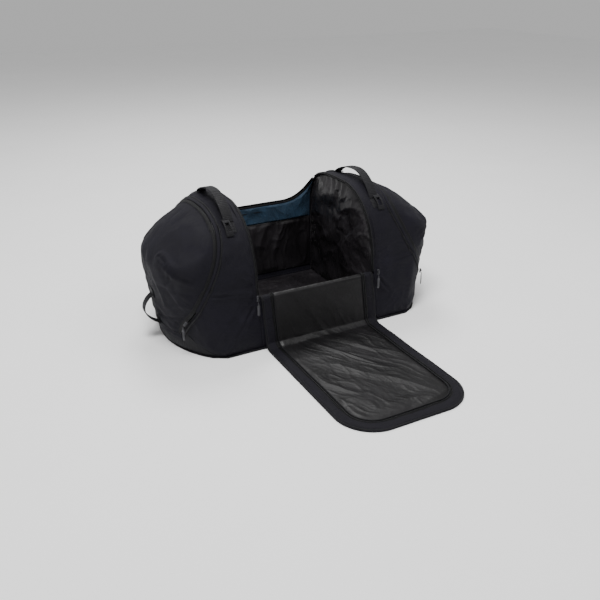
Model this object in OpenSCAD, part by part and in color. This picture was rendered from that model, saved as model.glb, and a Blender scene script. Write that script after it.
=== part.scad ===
// Ski boot bag: a soft holdall with a boot pocket at each end, a wide main
// compartment between them, and a zipped lid that folds down into a standing mat.
// Millimetres, +Z up. The origin is the middle of the underside of the base.
// +X runs along the bag, and the lid opens towards -Y.

/* [Body] */
// Depth of the body at the ground, front to back
body_depth = 420; // [350:5:505]
// Height of the body at its highest point
body_height = 356; // [297:1:427]
// Height at which the front stops leaning back and starts to curve over
waist_height = 175; // [146:1:210]
// How far the front stands out from the middle at the waist
front_reach = 166; // [138:1:200]
// Width of the main opening, between the two end sections
opening_width = 356; // [297:1:427]
// Distance from the middle to where the top starts to slope down
shoulder_reach = 262; // [250:1:314]
// How far the top slopes out for each millimetre that it drops
shoulder_slope = 1.3; // [1.1:0.05:1.55]
// Distance from the middle to the foot of each end
foot_reach = 385; // [350:1:465]
// How far each end leans out for each millimetre of height
end_lean = 0.12; // [0.1:0.01:0.15]
// How far the corners of each end draw back from its middle
end_bulge = 95; // [80:1:114]
// Radius of the soft corner between the sides and an end
corner_soft = 35; // [29:1:42]
// Thickness of the padded fabric walls
wall = 4; // [3:0.2:5]
// Thickness of the base fabric
base_fabric = 3; // [2:0.25:4]
// Thickness of the stiffening board in the floor
board_thick = 3; // [2:0.25:4]
// Thickness of the lining cloth
lining = 1.5; // [1:0.1:2]

/* [Opening] */
// Height of the low front wall, where the lid is sewn on
sill_height = 130; // [108:1:156]
// Height of the rear rim in the middle
rim_height = 250; // [208:1:290]
// Width of the tape beside each zipper chain
tape_width = 9; // [7:0.5:11]
// How much higher the rear rim is at the sides of the opening than in the middle
rim_corner = 80; // [66:1:96]
// Depth of the lining band inside the rear rim
rim_band = 58; // [48:1:70]

/* [Lid] */
// Lengths of the lid's panels on the ground, from the body outwards, between its folds
near_length = 132; // [110:1:159]
mid_length = 149; // [124:1:179]
far_length = 79; // [66:1:95]
tip_length = 75; // [63:1:90]
// Radius of the two far corners of the mat
mat_corner = 95; // [80:5:115]
// Gap between the lid and each side of the opening
lid_gap = 7; // [6:0.5:8.5]
// Thickness of the lid's outer fabric
lid_fabric = 3; // [2:0.25:4]
// Width of the padded border around the mat
border = 36; // [30:1:43]

/* [End pockets] */
// Distance from the middle to the end zipper at the top
zip_reach = 258; // [245:1:310]
// Height of the sewn hinge under each end door
hinge_height = 38; // [32:1:46]
// Distance of the end zipper's foot in from the foot of the end
zip_foot_inset = 18; // [15:0.5:22]
// Height at which the end zipper starts to run outwards
zip_knee = 325; // [270:1:350]

/* [Handles] */
// Width of the webbing of the top handles
handle_width = 28; // [23:1:33]
// Thickness of all webbing
webbing = 2.5; // [2:0.25:3]
// Height of a top handle's loop above the body
handle_rise = 27; // [23:1:32]
// Distance between the feet of a top handle
handle_span = 190; // [160:5:225]
// Width of the webbing of the end handles
end_handle_width = 25; // [21:1:30]
// How far an end handle stands out
end_handle_rise = 32; // [27:1:34]
// Distance between the feet of an end handle
end_handle_span = 82; // [70:2:98]

/* [Zipper sliders] */
// Width of a zipper slider
slider_width = 9; // [8:0.5:10]
// Length of a zipper slider
slider_length = 18; // [15:1:21]
// Length of a zipper pull
pull_length = 38; // [32:1:45]

/* [Hidden] */

// Roundness of the outline: 2 is an ellipse, higher is squarer
front_round = 2;
rear_round = 4;
base_round = 10;
end_round = 2.2;
// The outline would reach this far below the waist if the base didn't cut it flat
floor_drop = waist_height + 20;
// Softness of the ridge across each end
ridge_soft = 8;
// Share of the way out from the middle of an end at which its soft corner starts
corner_start = 0.78;
// The corner along the base is this much tighter than the one up the sides
foot_tight = 0.6;
// Share of the skin's run across an end that goes round the soft corner
corner_share = 0.25;

// Clearance between layers of cloth, and the seam allowance on each side of a zipper
cloth_gap = 0.3;
seam = 2.5;
half_open = opening_width / 2;
half_depth = body_depth / 2;
top_rise = body_height - waist_height;
fabric_top = base_fabric + board_thick + lining;
handle_x = (half_open + zip_reach) / 2;

// ---- The body's surface ----

// Distance from the waist's axis to the upright outline at an angle, drawn in by an inset
function outline_radius(angle, inset) =
    let (c = cos(angle), s = sin(angle))
    let (spread = c < 0 ? front_reach : half_depth, rise = s >= 0 ? top_rise : floor_drop)
    let (power = s < 0 ? base_round : c < 0 ? front_round : rear_round)
    pow(pow(abs(c) / (spread - inset), power) + pow(abs(s) / (rise - inset), power), -1 / power);

// Below the waist the front leans out until it is as deep as the base
function leaned(y, z) =
    y * (y < 0 ? 1 + (half_depth / front_reach - 1) * max(0, 1 - z / waist_height) : 1);

// The place at an angle and a share of the way out from the waist's axis, [y, z]
function place(angle, share, inset) =
    let (r = share * outline_radius(angle, inset), z = waist_height + r * sin(angle))
    [leaned(r * cos(angle), z), z];
function outline(angle, inset) = place(angle, 1, inset);

// How far out the outline is at a height, before it leans and with the lean
function side_y(height, spread, power_above) =
    let (z = height - waist_height, above = z >= 0)
    let (power = above ? power_above : base_round, rise = above ? top_rise : floor_drop)
    spread * pow(1 - pow(abs(z) / rise, power), 1 / power);
function front_y(height) = -leaned(-side_y(height, front_reach, front_round), height);
// Height of the top at a place in front or behind
function top_z(y) =
    let (power = y < 0 ? front_round : rear_round, spread = y < 0 ? front_reach : half_depth)
    waist_height + top_rise * pow(1 - pow(abs(y) / spread, power), 1 / power);
// Angles of the outline at a height
function front_angle(height) = 180 - atan2(height - waist_height, side_y(height, front_reach, front_round));
function rear_angle(height) = atan2(height - waist_height, side_y(height, half_depth, rear_round));

function soft_min(a, b, k) = -k * ln(exp(-a / k) + exp(-b / k));

// How far an end reaches at a place in its face
function end_reach(y, z) =
    soft_min(shoulder_reach + shoulder_slope * (body_height - z), foot_reach + end_lean * z, ridge_soft)
    - end_bulge * pow(abs(y) / half_depth, end_round);

// The corner's radius, and the share of the way out at which it starts, along each angle
function downward(angle) = max(0, -sin(angle));
function corner_radius(angle) = corner_soft * (1 - foot_tight * downward(angle));
function corner_from(angle) = corner_start + (1 - corner_start) * foot_tight * downward(angle);

// The right half of the skin. along runs from 0 in the middle to 1 at the soft corner, and
// reaches 2 at the centre of the end
function side_end(angle) =
    let (p = outline(angle, 0))
    end_reach(p.x, p.y) - corner_radius(angle);
function skin(angle, along, inset) =
    let (turn = along <= 1 ? 90 : max(0, 90 * (1 - (along - 1) / corner_share)))
    let (from = corner_from(angle))
    let (share = along < 1 + corner_share ? from + (1 - from) * sin(turn)
                                          : from * (2 - along) / (1 - corner_share))
    let (whole = place(angle, share, 0), p = place(angle, share, inset * sin(turn)))
    let (x = along <= 1 ? along * side_end(angle)
                        : end_reach(whole.x, whole.y) - corner_radius(angle) * (1 - cos(turn))
                          - inset * cos(turn))
    [x, p.x, max(base_fabric, p.y)];
// The same place given as a share of the way out from the centre of the end
function along_share(angle, share) =
    let (from = corner_from(angle))
    share <= from ? 2 - share / from * (1 - corner_share)
                  : 1 + corner_share * (1 - asin(min(1, (share - from) / (1 - from))) / 90);
// The place that lies a distance further along the skin
function beyond(angle, along, distance) =
    let (h = 0.01, a = skin(angle, along - h, 0), b = skin(angle, along + h, 0))
    along + distance * 2 * h / norm(b - a);

// The line of the end zipper, seen from the front
zip_run = foot_reach - zip_foot_inset - zip_reach;
function ease(t) = let (u = min(1, max(0, t))) u * u * (3 - 2 * u);
function zip_x(z) = zip_reach + zip_run * ease((zip_knee - z) / (zip_knee - hinge_height));
function past_zip(p) = p.x > zip_x(p.z) && p.z > hinge_height;
function find_zip(angle, low, high, n) =
    let (mid = (low + high) / 2)
    n == 0 ? mid
           : past_zip(skin(angle, mid, 0)) ? find_zip(angle, low, mid, n - 1)
                                           : find_zip(angle, mid, high, n - 1);
function zip_along(angle) = find_zip(angle, 0, 2, 16);
// The place at the side that is a distance from the middle
function find_x(angle, x, low, high, n) =
    let (mid = (low + high) / 2)
    n == 0 ? mid
           : skin(angle, mid, 0).x > x ? find_x(angle, x, low, mid, n - 1)
                                       : find_x(angle, x, mid, high, n - 1);
function along_at(angle, x) = find_x(angle, x, 0, 1.5, 16);

// Where each end of the zipper meets the sewn hinge under the door
foot_overlap = max(1, foot_reach + end_lean * hinge_height - zip_x(hinge_height));
zip_end_y = half_depth * pow(foot_overlap / end_bulge, 1 / end_round);
zip_end_angle = atan2(hinge_height - waist_height, zip_end_y);
zip_end_front = atan2(waist_height - hinge_height, -zip_end_y / leaned(-1, hinge_height));
// Angles of the base's edge behind and in front, and of the sill
foot_angle = rear_angle(base_fabric);
foot_front = 180 - front_angle(base_fabric);
sill_angle = front_angle(sill_height);

// Where the base's rim is, at an angle that points down
function base_along(angle) =
    along_share(angle, min(1, (base_fabric - waist_height) / (outline_radius(angle, 0) * sin(angle))));

// The rear rim is low in the middle and curves up to the sides of the opening
rim_low = rear_angle(rim_height);
rim_high = rear_angle(min(rim_height + rim_corner, body_height - 30));
rim_flat = half_open - mat_corner - 5;
function rim_angle(x) =
    let (q = min(1, max(0, (abs(x) - rim_flat) / (half_open - rim_flat))))
    rim_low + (rim_high - rim_low) * (1 - sqrt(1 - q * q));

function steps(low, high, n) = [for (i = [0:n]) low + (high - low) * i / n];
function same(list, value) = [for (i = list) value];

// ---- Builders ----

// A closed sheet between two grids of points
module thick_sheet(outer, inner, ring = false) {
    rows = len(outer);
    cols = len(outer[0]);
    n = rows * cols;
    spans = ring ? rows : rows - 1;
    function at(i, j) = (i % rows) * cols + j;
    points = concat([for (row = outer) each row], [for (row = inner) each row]);
    faces = concat(
        [for (i = [0:spans - 1], j = [0:cols - 2]) each [
            [at(i, j), at(i, j + 1), at(i + 1, j + 1)],
            [at(i, j), at(i + 1, j + 1), at(i + 1, j)],
            [n + at(i, j), n + at(i + 1, j + 1), n + at(i, j + 1)],
            [n + at(i, j), n + at(i + 1, j), n + at(i + 1, j + 1)]]],
        [for (i = [0:spans - 1]) each [
            [at(i, 0), at(i + 1, 0), n + at(i + 1, 0)],
            [at(i, 0), n + at(i + 1, 0), n + at(i, 0)],
            [at(i, cols - 1), n + at(i + 1, cols - 1), at(i + 1, cols - 1)],
            [at(i, cols - 1), n + at(i, cols - 1), n + at(i + 1, cols - 1)]]],
        ring ? [] : [for (j = [0:cols - 2]) each [
            [at(0, j + 1), at(0, j), n + at(0, j)],
            [at(0, j + 1), n + at(0, j), n + at(0, j + 1)],
            [at(rows - 1, j), at(rows - 1, j + 1), n + at(rows - 1, j + 1)],
            [at(rows - 1, j), n + at(rows - 1, j + 1), n + at(rows - 1, j)]]]);
    polyhedron(points, faces, convexity = 8);
}

// A closed dome: rings of points that end in a pole, with the same again inside
module thick_dome(outer, inner, outer_pole, inner_pole) {
    rows = len(outer);
    cols = len(outer[0]);
    n = rows * cols;
    function at(i, j) = (i % rows) * cols + j;
    points = concat([for (row = outer) each row], [for (row = inner) each row], [outer_pole, inner_pole]);
    faces = concat(
        [for (i = [0:rows - 1], j = [0:cols - 2]) each [
            [at(i, j), at(i, j + 1), at(i + 1, j + 1)],
            [at(i, j), at(i + 1, j + 1), at(i + 1, j)],
            [n + at(i, j), n + at(i + 1, j + 1), n + at(i, j + 1)],
            [n + at(i, j), n + at(i + 1, j), n + at(i + 1, j + 1)]]],
        [for (i = [0:rows - 1]) each [
            [at(i, 0), at(i + 1, 0), n + at(i + 1, 0)],
            [at(i, 0), n + at(i + 1, 0), n + at(i, 0)],
            [at(i, cols - 1), 2 * n, at(i + 1, cols - 1)],
            [n + at(i, cols - 1), n + at(i + 1, cols - 1), 2 * n + 1]]]);
    polyhedron(points, faces, convexity = 8);
}

// A closed bar through a list of four-sided rings
module bar(rings) {
    rows = len(rings);
    points = [for (ring = rings) each ring];
    faces = concat(
        [[3, 2, 1], [3, 1, 0]],
        [for (i = [0:rows - 2], j = [0:3]) let (a = 4 * i, k = (j + 1) % 4) each [
            [a + j, a + k, a + 4 + k],
            [a + j, a + 4 + k, a + 4 + j]]],
        [let (a = 4 * (rows - 1)) each [[a, a + 1, a + 2], [a, a + 2, a + 3]]]);
    polyhedron(points, faces, convexity = 6);
}

// A piece of skin between two insets. low and high say how far along each angle's row runs
module skin_patch(angles, low, high, cols, outer, inner) {
    function row(i, inset) = [for (t = steps(low[i], high[i], cols)) skin(angles[i], t, inset)];
    thick_sheet([for (i = [0:len(angles) - 1]) row(i, outer)],
                [for (i = [0:len(angles) - 1]) row(i, inner)]);
}

// A tape that follows the end zipper, between two distances from its line, out from the skin
module zip_strip(angles, near, far, lift, thick) {
    function place(a, distance) = beyond(a, zip_along(a), distance);
    skin_patch(angles, [for (a = angles) place(a, near)], [for (a = angles) place(a, far)],
               1, -lift - thick, -lift);
}

// A piece of the straight middle of the body. low and high give each column's two angles
module middle_patch(xs, low, high, rows, outer, inner) {
    function point(x, angle, inset) =
        let (p = outline(angle, inset))
        [x, p.x, max(base_fabric, p.y)];
    function grid(inset) = [for (k = steps(0, 1, rows))
        [for (i = [0:len(xs) - 1]) point(xs[i], low[i] + (high[i] - low[i]) * k, inset)]];
    thick_sheet(grid(inner), grid(outer));
}

// Puts a piece drawn for the right side on the side asked for
module on_side(side) {
    if (side > 0) children();
    else mirror([1, 0, 0]) children();
}

// ---- Base ----

// Half of the base's outline, from the rear corner round the end to the front corner
base_half = [for (a = steps(foot_angle, -180 - foot_front, 32)) skin(a, base_along(a), 0)];
module base_shape(inset) {
    half = [for (p = base_half) [p.x, p.y] * (1 - inset / norm([p.x, p.y]))];
    last = len(half) - 1;
    polygon(concat(half, [for (i = [last:-1:0]) [-half[i].x, half[i].y]]));
}
module base_panel() {
    color("#141416") linear_extrude(base_fabric) base_shape(0);
}
// The board and the lining stop short of the walls around them
board_inset = 16;
module base_board() {
    color("#3a3a3c") translate([0, 0, base_fabric]) linear_extrude(board_thick) base_shape(board_inset);
}
module floor_lining() {
    color("#2b2b2f") translate([0, 0, base_fabric + board_thick]) linear_extrude(lining)
        base_shape(board_inset + 1);
}

// ---- Walls of the main compartment ----

// Loose linings stand off the walls, stop short of their edges, and start above the base
lining_slack = 1.6;
lining_margin = 3;
lining_trim = 4;
// Columns across the opening, closer together towards its sides, where the rim curves up
function across(half) = [for (u = steps(-90, 90, 18)) half * sin(u)];
wall_xs = across(half_open - cloth_gap);
lining_xs = across(half_open - lining_margin);
lining_out = wall + lining_slack;
lining_in = lining_out + lining;
band_angle = rear_angle(rim_height - rim_band);
module front_wall() {
    color("#1d1d21")
        middle_patch(wall_xs, same(wall_xs, sill_angle), same(wall_xs, 180 - foot_front), 8, 0, wall);
}
module front_lining() {
    color("#2b2b2f")
        middle_patch(lining_xs, same(lining_xs, sill_angle + 1),
                     same(lining_xs, 180 - lining_trim - foot_front),
                     8, lining_out, lining_in);
}
module rear_wall() {
    color("#1d1d21")
        middle_patch(wall_xs, same(wall_xs, foot_angle), [for (x = wall_xs) rim_angle(x)], 12, 0, wall);
}
module rear_lining() {
    color("#2b2b2f")
        middle_patch(lining_xs, same(lining_xs, foot_angle + lining_trim), same(lining_xs, band_angle),
                     12, lining_out, lining_in);
}
module rim_lining() {
    color("#2f4a66")
        middle_patch(lining_xs, same(lining_xs, band_angle + 0.3), [for (x = lining_xs) rim_angle(x) - 1],
                     10, lining_out, lining_in);
}
binding_round = wall / 2;
binding_lift = 1.5;
module sill_binding() {
    color("#232327")
        translate([0, outline(sill_angle, binding_round).x, sill_height + binding_round + binding_lift])
            rotate([0, 90, 0]) cylinder(r = binding_round, h = 2 * lid_half, center = true, $fn = 24);
}

// ---- End sections ----

section_angles = steps(180 - foot_front, foot_angle, 48);
// The heel under each door starts just past the section, and just off the base's rim
heel_gap = 0.2;
rim_gap = 0.01;
heel_angles = steps(foot_angle - heel_gap, -180 - foot_front + heel_gap, 24);
// Rows at which the end zipper runs clear of the hinge at both of its ends
zip_angles = steps(178 + zip_end_front, zip_end_angle + 2, 48);
module section(side) {
    color("#1d1d21") on_side(side) skin_patch(
        section_angles,
        [for (a = section_angles) half_open / side_end(a)],
        [for (a = section_angles) beyond(a, zip_along(a), -seam)], 7, 0, wall);
}
module heel(side) {
    color("#17171a") on_side(side) skin_patch(
        heel_angles,
        [for (a = heel_angles) base_along(a) + rim_gap],
        [for (a = heel_angles) beyond(a, zip_along(a), -seam)], 4, 0, wall);
}
divider_thick = 2.5;
divider_inset = wall + 1.2;
module divider(side) {
    rim = [for (a = steps(180 - foot_front, foot_angle, 40))
        let (p = outline(a, divider_inset))
        [p.x, max(fabric_top + cloth_gap, p.y)]];
    color("#28262c") on_side(side) translate([half_open + 2, 0, 0])
        rotate([90, 0, 90]) linear_extrude(divider_thick) polygon(rim);
}
// A raised cord beside the end zipper, and the flap over the zipper's upper run
piping_out = 13;
piping_in = 7;
piping_lift = 0.8;
piping_thick = 2.7;
flap_out = piping_in - 1.5;
flap_overlap = 2;
flap_lift = 1.2;
flap_thick = 1.6;
flap_foot = 120;
module piping(side) {
    color("#2c2c31") on_side(side)
        zip_strip(zip_angles, -piping_out, -piping_in, piping_lift, piping_thick);
}
module storm_flap(side) {
    low = front_angle(flap_foot);
    color("#26262b") on_side(side)
        zip_strip(steps(low, 180 - low, 36), -flap_out, flap_overlap, flap_lift, flap_thick);
}

// ---- Zipper tapes of the main opening ----

tape_inset = 1;
tape_thick = 1.5;
// The rear tape stands this angle above the rim
tape_start = 1.5;
module opening_side_tape(side) {
    angles = steps(sill_angle - 3, rim_high, 40);
    function grid(inset) = [for (a = angles)
        [for (x = [lid_half + 1, half_open - cloth_gap])
            let (p = outline(a, inset))
            [x, p.x, p.y]]];
    color("#101012") on_side(side) thick_sheet(grid(tape_inset), grid(tape_inset + tape_thick));
}
module rear_opening_tape() {
    xs = across(lid_half);
    low = [for (x = xs) rim_angle(x) + tape_start];
    turn = tape_width / half_depth * 180 / PI;
    color("#101012")
        middle_patch(xs, low, [for (a = low) a + turn], 1, tape_inset, tape_inset + tape_thick);
}

// ---- Handles ----

// A webbing loop between two feet: points of its inner face, [out, along], and its half width
loop_lift = 4.5;
loop_flat = 0.7;
loop_taper = 0.35;
function loop_rise(u, rise) = loop_lift + rise * pow(max(0, sin(180 * u)), loop_flat);
function loop_half(u, width) = width / 2 * min(1, loop_taper + 6 * min(u, 1 - u));
module loop(path, width, count) {
    function ring(u) =
        let (p = path(u), t = path(min(1, u + 0.01)) - path(max(0, u - 0.01)))
        let (q = p + [-t.y, t.x] * webbing / norm(t), w = loop_half(u, width))
        [[-w, p.x, p.y], [w, p.x, p.y], [w, q.x, q.y], [-w, q.x, q.y]];
    bar([for (u = steps(0, 1, count)) ring(u)]);
}
module top_handle(side) {
    path = function(u)
        let (y = handle_span * (u - 0.5))
        [y, top_z(y) + loop_rise(u, handle_rise)];
    color("#1a1a1d") on_side(side) translate([handle_x, 0, 0]) loop(path, handle_width, 28);
}
// The flat runs of a top handle's webbing, sewn down in front of the handle and behind it
strap_foot = 306;
strap_lift = 1.9;
strap_gap = 4;
module handle_straps(side) {
    y = handle_span / 2 + strap_gap;
    front = steps(front_angle(strap_foot), 180 - atan2(top_z(-y) - waist_height, y), 8);
    rear = steps(atan2(top_z(y) - waist_height, y), rear_angle(strap_foot), 8);
    color("#1a1a1d") on_side(side) for (angles = [front, rear])
        skin_patch(angles,
                   [for (a = angles) along_at(a, handle_x - handle_width / 2)],
                   [for (a = angles) along_at(a, handle_x + handle_width / 2)],
                   1, -webbing - strap_lift, -strap_lift);
}
end_handle_low = hinge_height + 8;
module end_handle(side) {
    path = function(u)
        let (z = end_handle_low + end_handle_span * (1 - u))
        [z, end_reach(0, z) + loop_rise(u, end_handle_rise)];
    color("#1a1a1d") on_side(side)
        multmatrix([[0, 0, 1, 0], [1, 0, 0, 0], [0, 1, 0, 0], [0, 0, 0, 1]])
            loop(path, end_handle_width, 20);
}
// A short webbing tab sewn to the floor lining beside the right divider
tab_size = [12, 70, 1.5];
tab_inset = [40, 60];
tab_turn = 25;
module inner_tab() {
    color("#77777c") translate([half_open - tab_inset.x, tab_inset.y - half_depth, fabric_top + cloth_gap])
        rotate([0, 0, tab_turn]) cube(tab_size);
}

// ---- Lid ----

// The lid hangs just in front of the front wall, and its panels lie on the ground beyond
hang_gap = 1.5;
hang_thick = lid_fabric + lining;
hang_lean = atan2(half_depth - front_reach, waist_height);
hang_low = hang_thick + 1.5;
hang_length = (sill_height - hang_low) / cos(hang_lean) - 1;
hang_foot = -front_y(sill_height) - (hang_gap + hang_thick) / cos(hang_lean) - sill_height * tan(hang_lean);
lid_half = half_open - lid_gap;
lining_half = lid_half - border;
// Where the folds between the panels on the ground lie, and the gap at each
mat_start = hang_foot - 1;
near_fold = hang_foot - near_length;
mid_fold = near_fold - mid_length;
far_fold = mid_fold - far_length;
mat_end = far_fold - tip_length;
fold_gap = 0.4;

// Puts a piece that hangs down the XZ plane from the origin in front of the front wall
module hang() {
    translate([0, -front_y(sill_height), sill_height]) rotate([-hang_lean, 0, 0])
        translate([0, -hang_gap, 0]) children();
}
module lid_hang_fabric() {
    color("#1d1d21") hang() translate([-lid_half, -lid_fabric, -1 - hang_length])
        cube([2 * lid_half, lid_fabric, hang_length]);
}
module lid_hang_lining() {
    color("#2b2b2f") hang() translate([-lining_half, -hang_thick, -1 - hang_length])
        cube([2 * lining_half, lining, hang_length]);
}
module lid_hang_tape() {
    for (side = [-1, 1]) color("#101012") on_side(side) hang()
        translate([lining_half + cloth_gap, -hang_thick, -1 - hang_length])
            cube([tape_width, lining, hang_length]);
}
// Plan of all the panels on the ground, drawn in by an inset
module mat_plan(inset) {
    r = mat_corner - inset;
    half = lid_half - inset;
    end = mat_end + inset;
    turn = steps(0, 90, 12);
    polygon(concat(
        [[-half, mat_start], [half, mat_start]],
        [for (a = turn) [half - r + r * cos(a), end + r - r * sin(a)]],
        [for (a = turn) [r - half - r * sin(a), end + r - r * cos(a)]]));
}
// The panel between two folds, cut from a plan
module panel(start, end) {
    stop = end == mat_end ? end : end + fold_gap;
    intersection() {
        children();
        translate([-half_open, stop, 0]) cube([opening_width, start - stop, 2 * hang_thick]);
    }
}
module panel_fabric(start, end) {
    color("#1d1d21") panel(start, end) linear_extrude(lid_fabric) mat_plan(0);
}
module panel_lining(start, end) {
    color("#2b2b2f") panel(start, end) translate([0, 0, lid_fabric]) linear_extrude(lining) mat_plan(border);
}
module panel_tape(start, end) {
    color("#101012") panel(start, end) translate([0, 0, lid_fabric]) linear_extrude(lining) difference() {
        mat_plan(border - cloth_gap - tape_width);
        mat_plan(border - cloth_gap);
        square([2 * lining_half + 2 * cloth_gap, -2 * far_fold], center = true);
    }
}

// ---- End doors ----

door_angles = [for (a = [0:5:355]) -a];
// How far along the skin the rings stop around the dome's centre, and how many there are
crown = 1.9;
door_rings = 6;
module door_shell(side, outer, inner, margin) {
    function row(a, inset) =
        [for (t = steps(beyond(a, zip_along(a), margin), crown, door_rings)) skin(a, t, inset)];
    on_side(side) thick_dome([for (a = door_angles) row(a, outer)], [for (a = door_angles) row(a, inner)],
                             skin(0, 2, outer), skin(0, 2, inner));
}
door_slack = 1.6;
door_tape_thick = 1.1;
module door_panel(side) {
    color("#1d1d21") door_shell(side, 0, wall, seam);
}
module door_lining(side) {
    color("#2b2b2f") door_shell(side, lining_out + door_slack, lining_in + door_slack, 3 * seam);
}
module door_tape(side) {
    color("#101012") on_side(side)
        zip_strip(zip_angles, seam + cloth_gap, seam + cloth_gap + tape_width, cloth_gap, door_tape_thick);
}

// ---- Zipper sliders and pulls ----

slider_thick = 5;
nose_size = [3, 2.5, slider_length / 3];
pull_size = [8, 2.4, pull_length];
pull_neck = [4, 2.4, 5];
// How far below a slider's foot its pull hangs from, and the gap between them
pull_drop = 2;

// A slider that stands on its foot at the origin with its back to the XZ plane, facing -Y
module slider_shape() {
    translate([-slider_width / 2, -slider_thick, 0]) cube([slider_width, slider_thick, slider_length]);
    translate([-nose_size.x / 2, -slider_thick - nose_size.y, slider_length / 3]) cube(nose_size + [0, 1, 0]);
}
// A pull that hangs down in front of a slider with its foot at the origin
module pull_shape() {
    translate([0, -slider_thick - cloth_gap, -pull_drop]) {
        translate([-pull_size.x / 2, -pull_size.y, -pull_length])
            cube(pull_size - [0, 0, pull_neck.z]);
        translate([-pull_neck.x / 2, -pull_neck.y, -pull_neck.z - 1]) cube(pull_neck + [0, 0, 1]);
    }
}
// The main sliders park on the end sections, just above the ends of the sill
main_lift = 7;
main_place = [half_open + slider_width / 2 + 1, -front_y(sill_height) - main_lift, sill_height + 4];
// Their pulls hang straight, or lie along the wall where it leans out past them
pull_clear = 2;
pull_foot = main_place.z - pull_drop - pull_length;
pull_short = front_y(pull_foot) + pull_clear + main_place.y - slider_thick - cloth_gap;
pull_lean = asin(max(0, pull_short) / pull_length);
module main_slider(side) {
    color("#6f7074") on_side(side) translate(main_place) slider_shape();
}
module main_pull(side) {
    color("#8d8e92") on_side(side) translate(main_place) rotate([-pull_lean, 0, 0]) pull_shape();
}
// The end sliders park near the front end of the end zipper, turned half out and tilted along it
park_angle = 160 + zip_end_front;
park_lift = 8;
park_turn = 55;
park_tilt = 36;
end_place = skin(park_angle, beyond(park_angle, zip_along(park_angle), 0), -park_lift);
module at_end(side) {
    on_side(side) translate(end_place) rotate([0, 0, park_turn]) children();
}
module end_slider(side) {
    color("#6f7074") at_end(side) rotate([0, -park_tilt, 0]) slider_shape();
}
module end_pull(side) {
    color("#8d8e92") at_end(side) pull_shape();
}

base_panel();
base_board();
floor_lining();
front_wall();
front_lining();
sill_binding();
rear_wall();
rear_lining();
rim_lining();
section(-1);  // left_section
section(1);  // right_section
heel(-1);  // left_heel
heel(1);  // right_heel
divider(-1);  // left_divider
divider(1);  // right_divider
opening_side_tape(-1);  // left_opening_tape
opening_side_tape(1);  // right_opening_tape
rear_opening_tape();
piping(-1);  // left_end_piping
piping(1);  // right_end_piping
storm_flap(-1);  // left_storm_flap
storm_flap(1);  // right_storm_flap
handle_straps(-1);  // left_handle_straps
handle_straps(1);  // right_handle_straps
inner_tab();
lid_hang_fabric();
panel_fabric(mat_start, near_fold);  // lid_near_fabric
panel_fabric(near_fold, mid_fold);  // lid_mid_fabric
panel_fabric(mid_fold, far_fold);  // lid_far_fabric
panel_fabric(far_fold, mat_end);  // lid_tip_fabric
lid_hang_lining();
panel_lining(mat_start, near_fold);  // lid_near_lining
panel_lining(near_fold, mid_fold);  // lid_mid_lining
panel_lining(mid_fold, far_fold);  // lid_far_lining
panel_lining(far_fold, mat_end);  // lid_tip_lining
lid_hang_tape();
panel_tape(mat_start, near_fold);  // lid_near_tape
panel_tape(near_fold, mid_fold);  // lid_mid_tape
panel_tape(mid_fold, far_fold);  // lid_far_tape
panel_tape(far_fold, mat_end);  // lid_tip_tape
door_panel(-1);  // left_door_panel
door_panel(1);  // right_door_panel
door_lining(-1);  // left_door_lining
door_lining(1);  // right_door_lining
door_tape(-1);  // left_door_tape
door_tape(1);  // right_door_tape
top_handle(-1);  // left_top_handle
top_handle(1);  // right_top_handle
end_handle(-1);  // left_end_handle
end_handle(1);  // right_end_handle
main_slider(-1);  // left_main_slider
main_slider(1);  // right_main_slider
main_pull(-1);  // left_main_pull
main_pull(1);  // right_main_pull
end_slider(-1);  // left_end_slider
end_slider(1);  // right_end_slider
end_pull(-1);  // left_end_pull
end_pull(1);  // right_end_pull
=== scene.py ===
import math

import bmesh
import bpy
import numpy as np
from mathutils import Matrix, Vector


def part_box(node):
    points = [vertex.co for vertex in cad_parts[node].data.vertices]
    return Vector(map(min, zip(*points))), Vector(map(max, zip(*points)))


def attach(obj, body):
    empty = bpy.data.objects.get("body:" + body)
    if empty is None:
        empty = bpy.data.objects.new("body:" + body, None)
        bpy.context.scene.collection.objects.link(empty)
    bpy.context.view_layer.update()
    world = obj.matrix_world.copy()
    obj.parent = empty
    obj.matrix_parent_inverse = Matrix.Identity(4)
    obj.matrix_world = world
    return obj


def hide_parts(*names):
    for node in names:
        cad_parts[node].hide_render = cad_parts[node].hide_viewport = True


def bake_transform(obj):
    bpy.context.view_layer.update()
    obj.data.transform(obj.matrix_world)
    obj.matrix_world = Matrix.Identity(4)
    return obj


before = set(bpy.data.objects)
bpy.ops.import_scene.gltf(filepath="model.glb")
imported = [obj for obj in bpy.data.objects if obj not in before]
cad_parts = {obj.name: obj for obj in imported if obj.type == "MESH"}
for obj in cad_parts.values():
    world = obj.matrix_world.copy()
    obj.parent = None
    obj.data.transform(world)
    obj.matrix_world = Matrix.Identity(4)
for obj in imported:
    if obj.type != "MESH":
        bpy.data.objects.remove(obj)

MM = 0.001
TURN = math.pi / 180
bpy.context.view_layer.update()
scene = bpy.context.scene


def mm_box(node):
    low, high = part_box(node)
    return np.array(low) / MM, np.array(high) / MM


# ---------------------------------------------------------------- camera and light

def aim(thing, look):
    thing.rotation_mode = "QUATERNION"
    thing.rotation_quaternion = look.to_track_quat("-Z", "Y")
    scene.collection.objects.link(thing)


def add_camera():
    data = bpy.data.cameras.new("camera")
    data.lens, data.sensor_width = 42, 36
    data.clip_start, data.clip_end = 0.05, 50
    camera = bpy.data.objects.new("camera", data)
    camera.location = (-0.840, -1.663, 0.922)
    heading, down = 27.8 * TURN, 25.9 * TURN
    look = Vector((math.sin(heading) * math.cos(down), math.cos(heading) * math.cos(down), -math.sin(down)))
    aim(camera, look)
    scene.camera = camera


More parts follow.
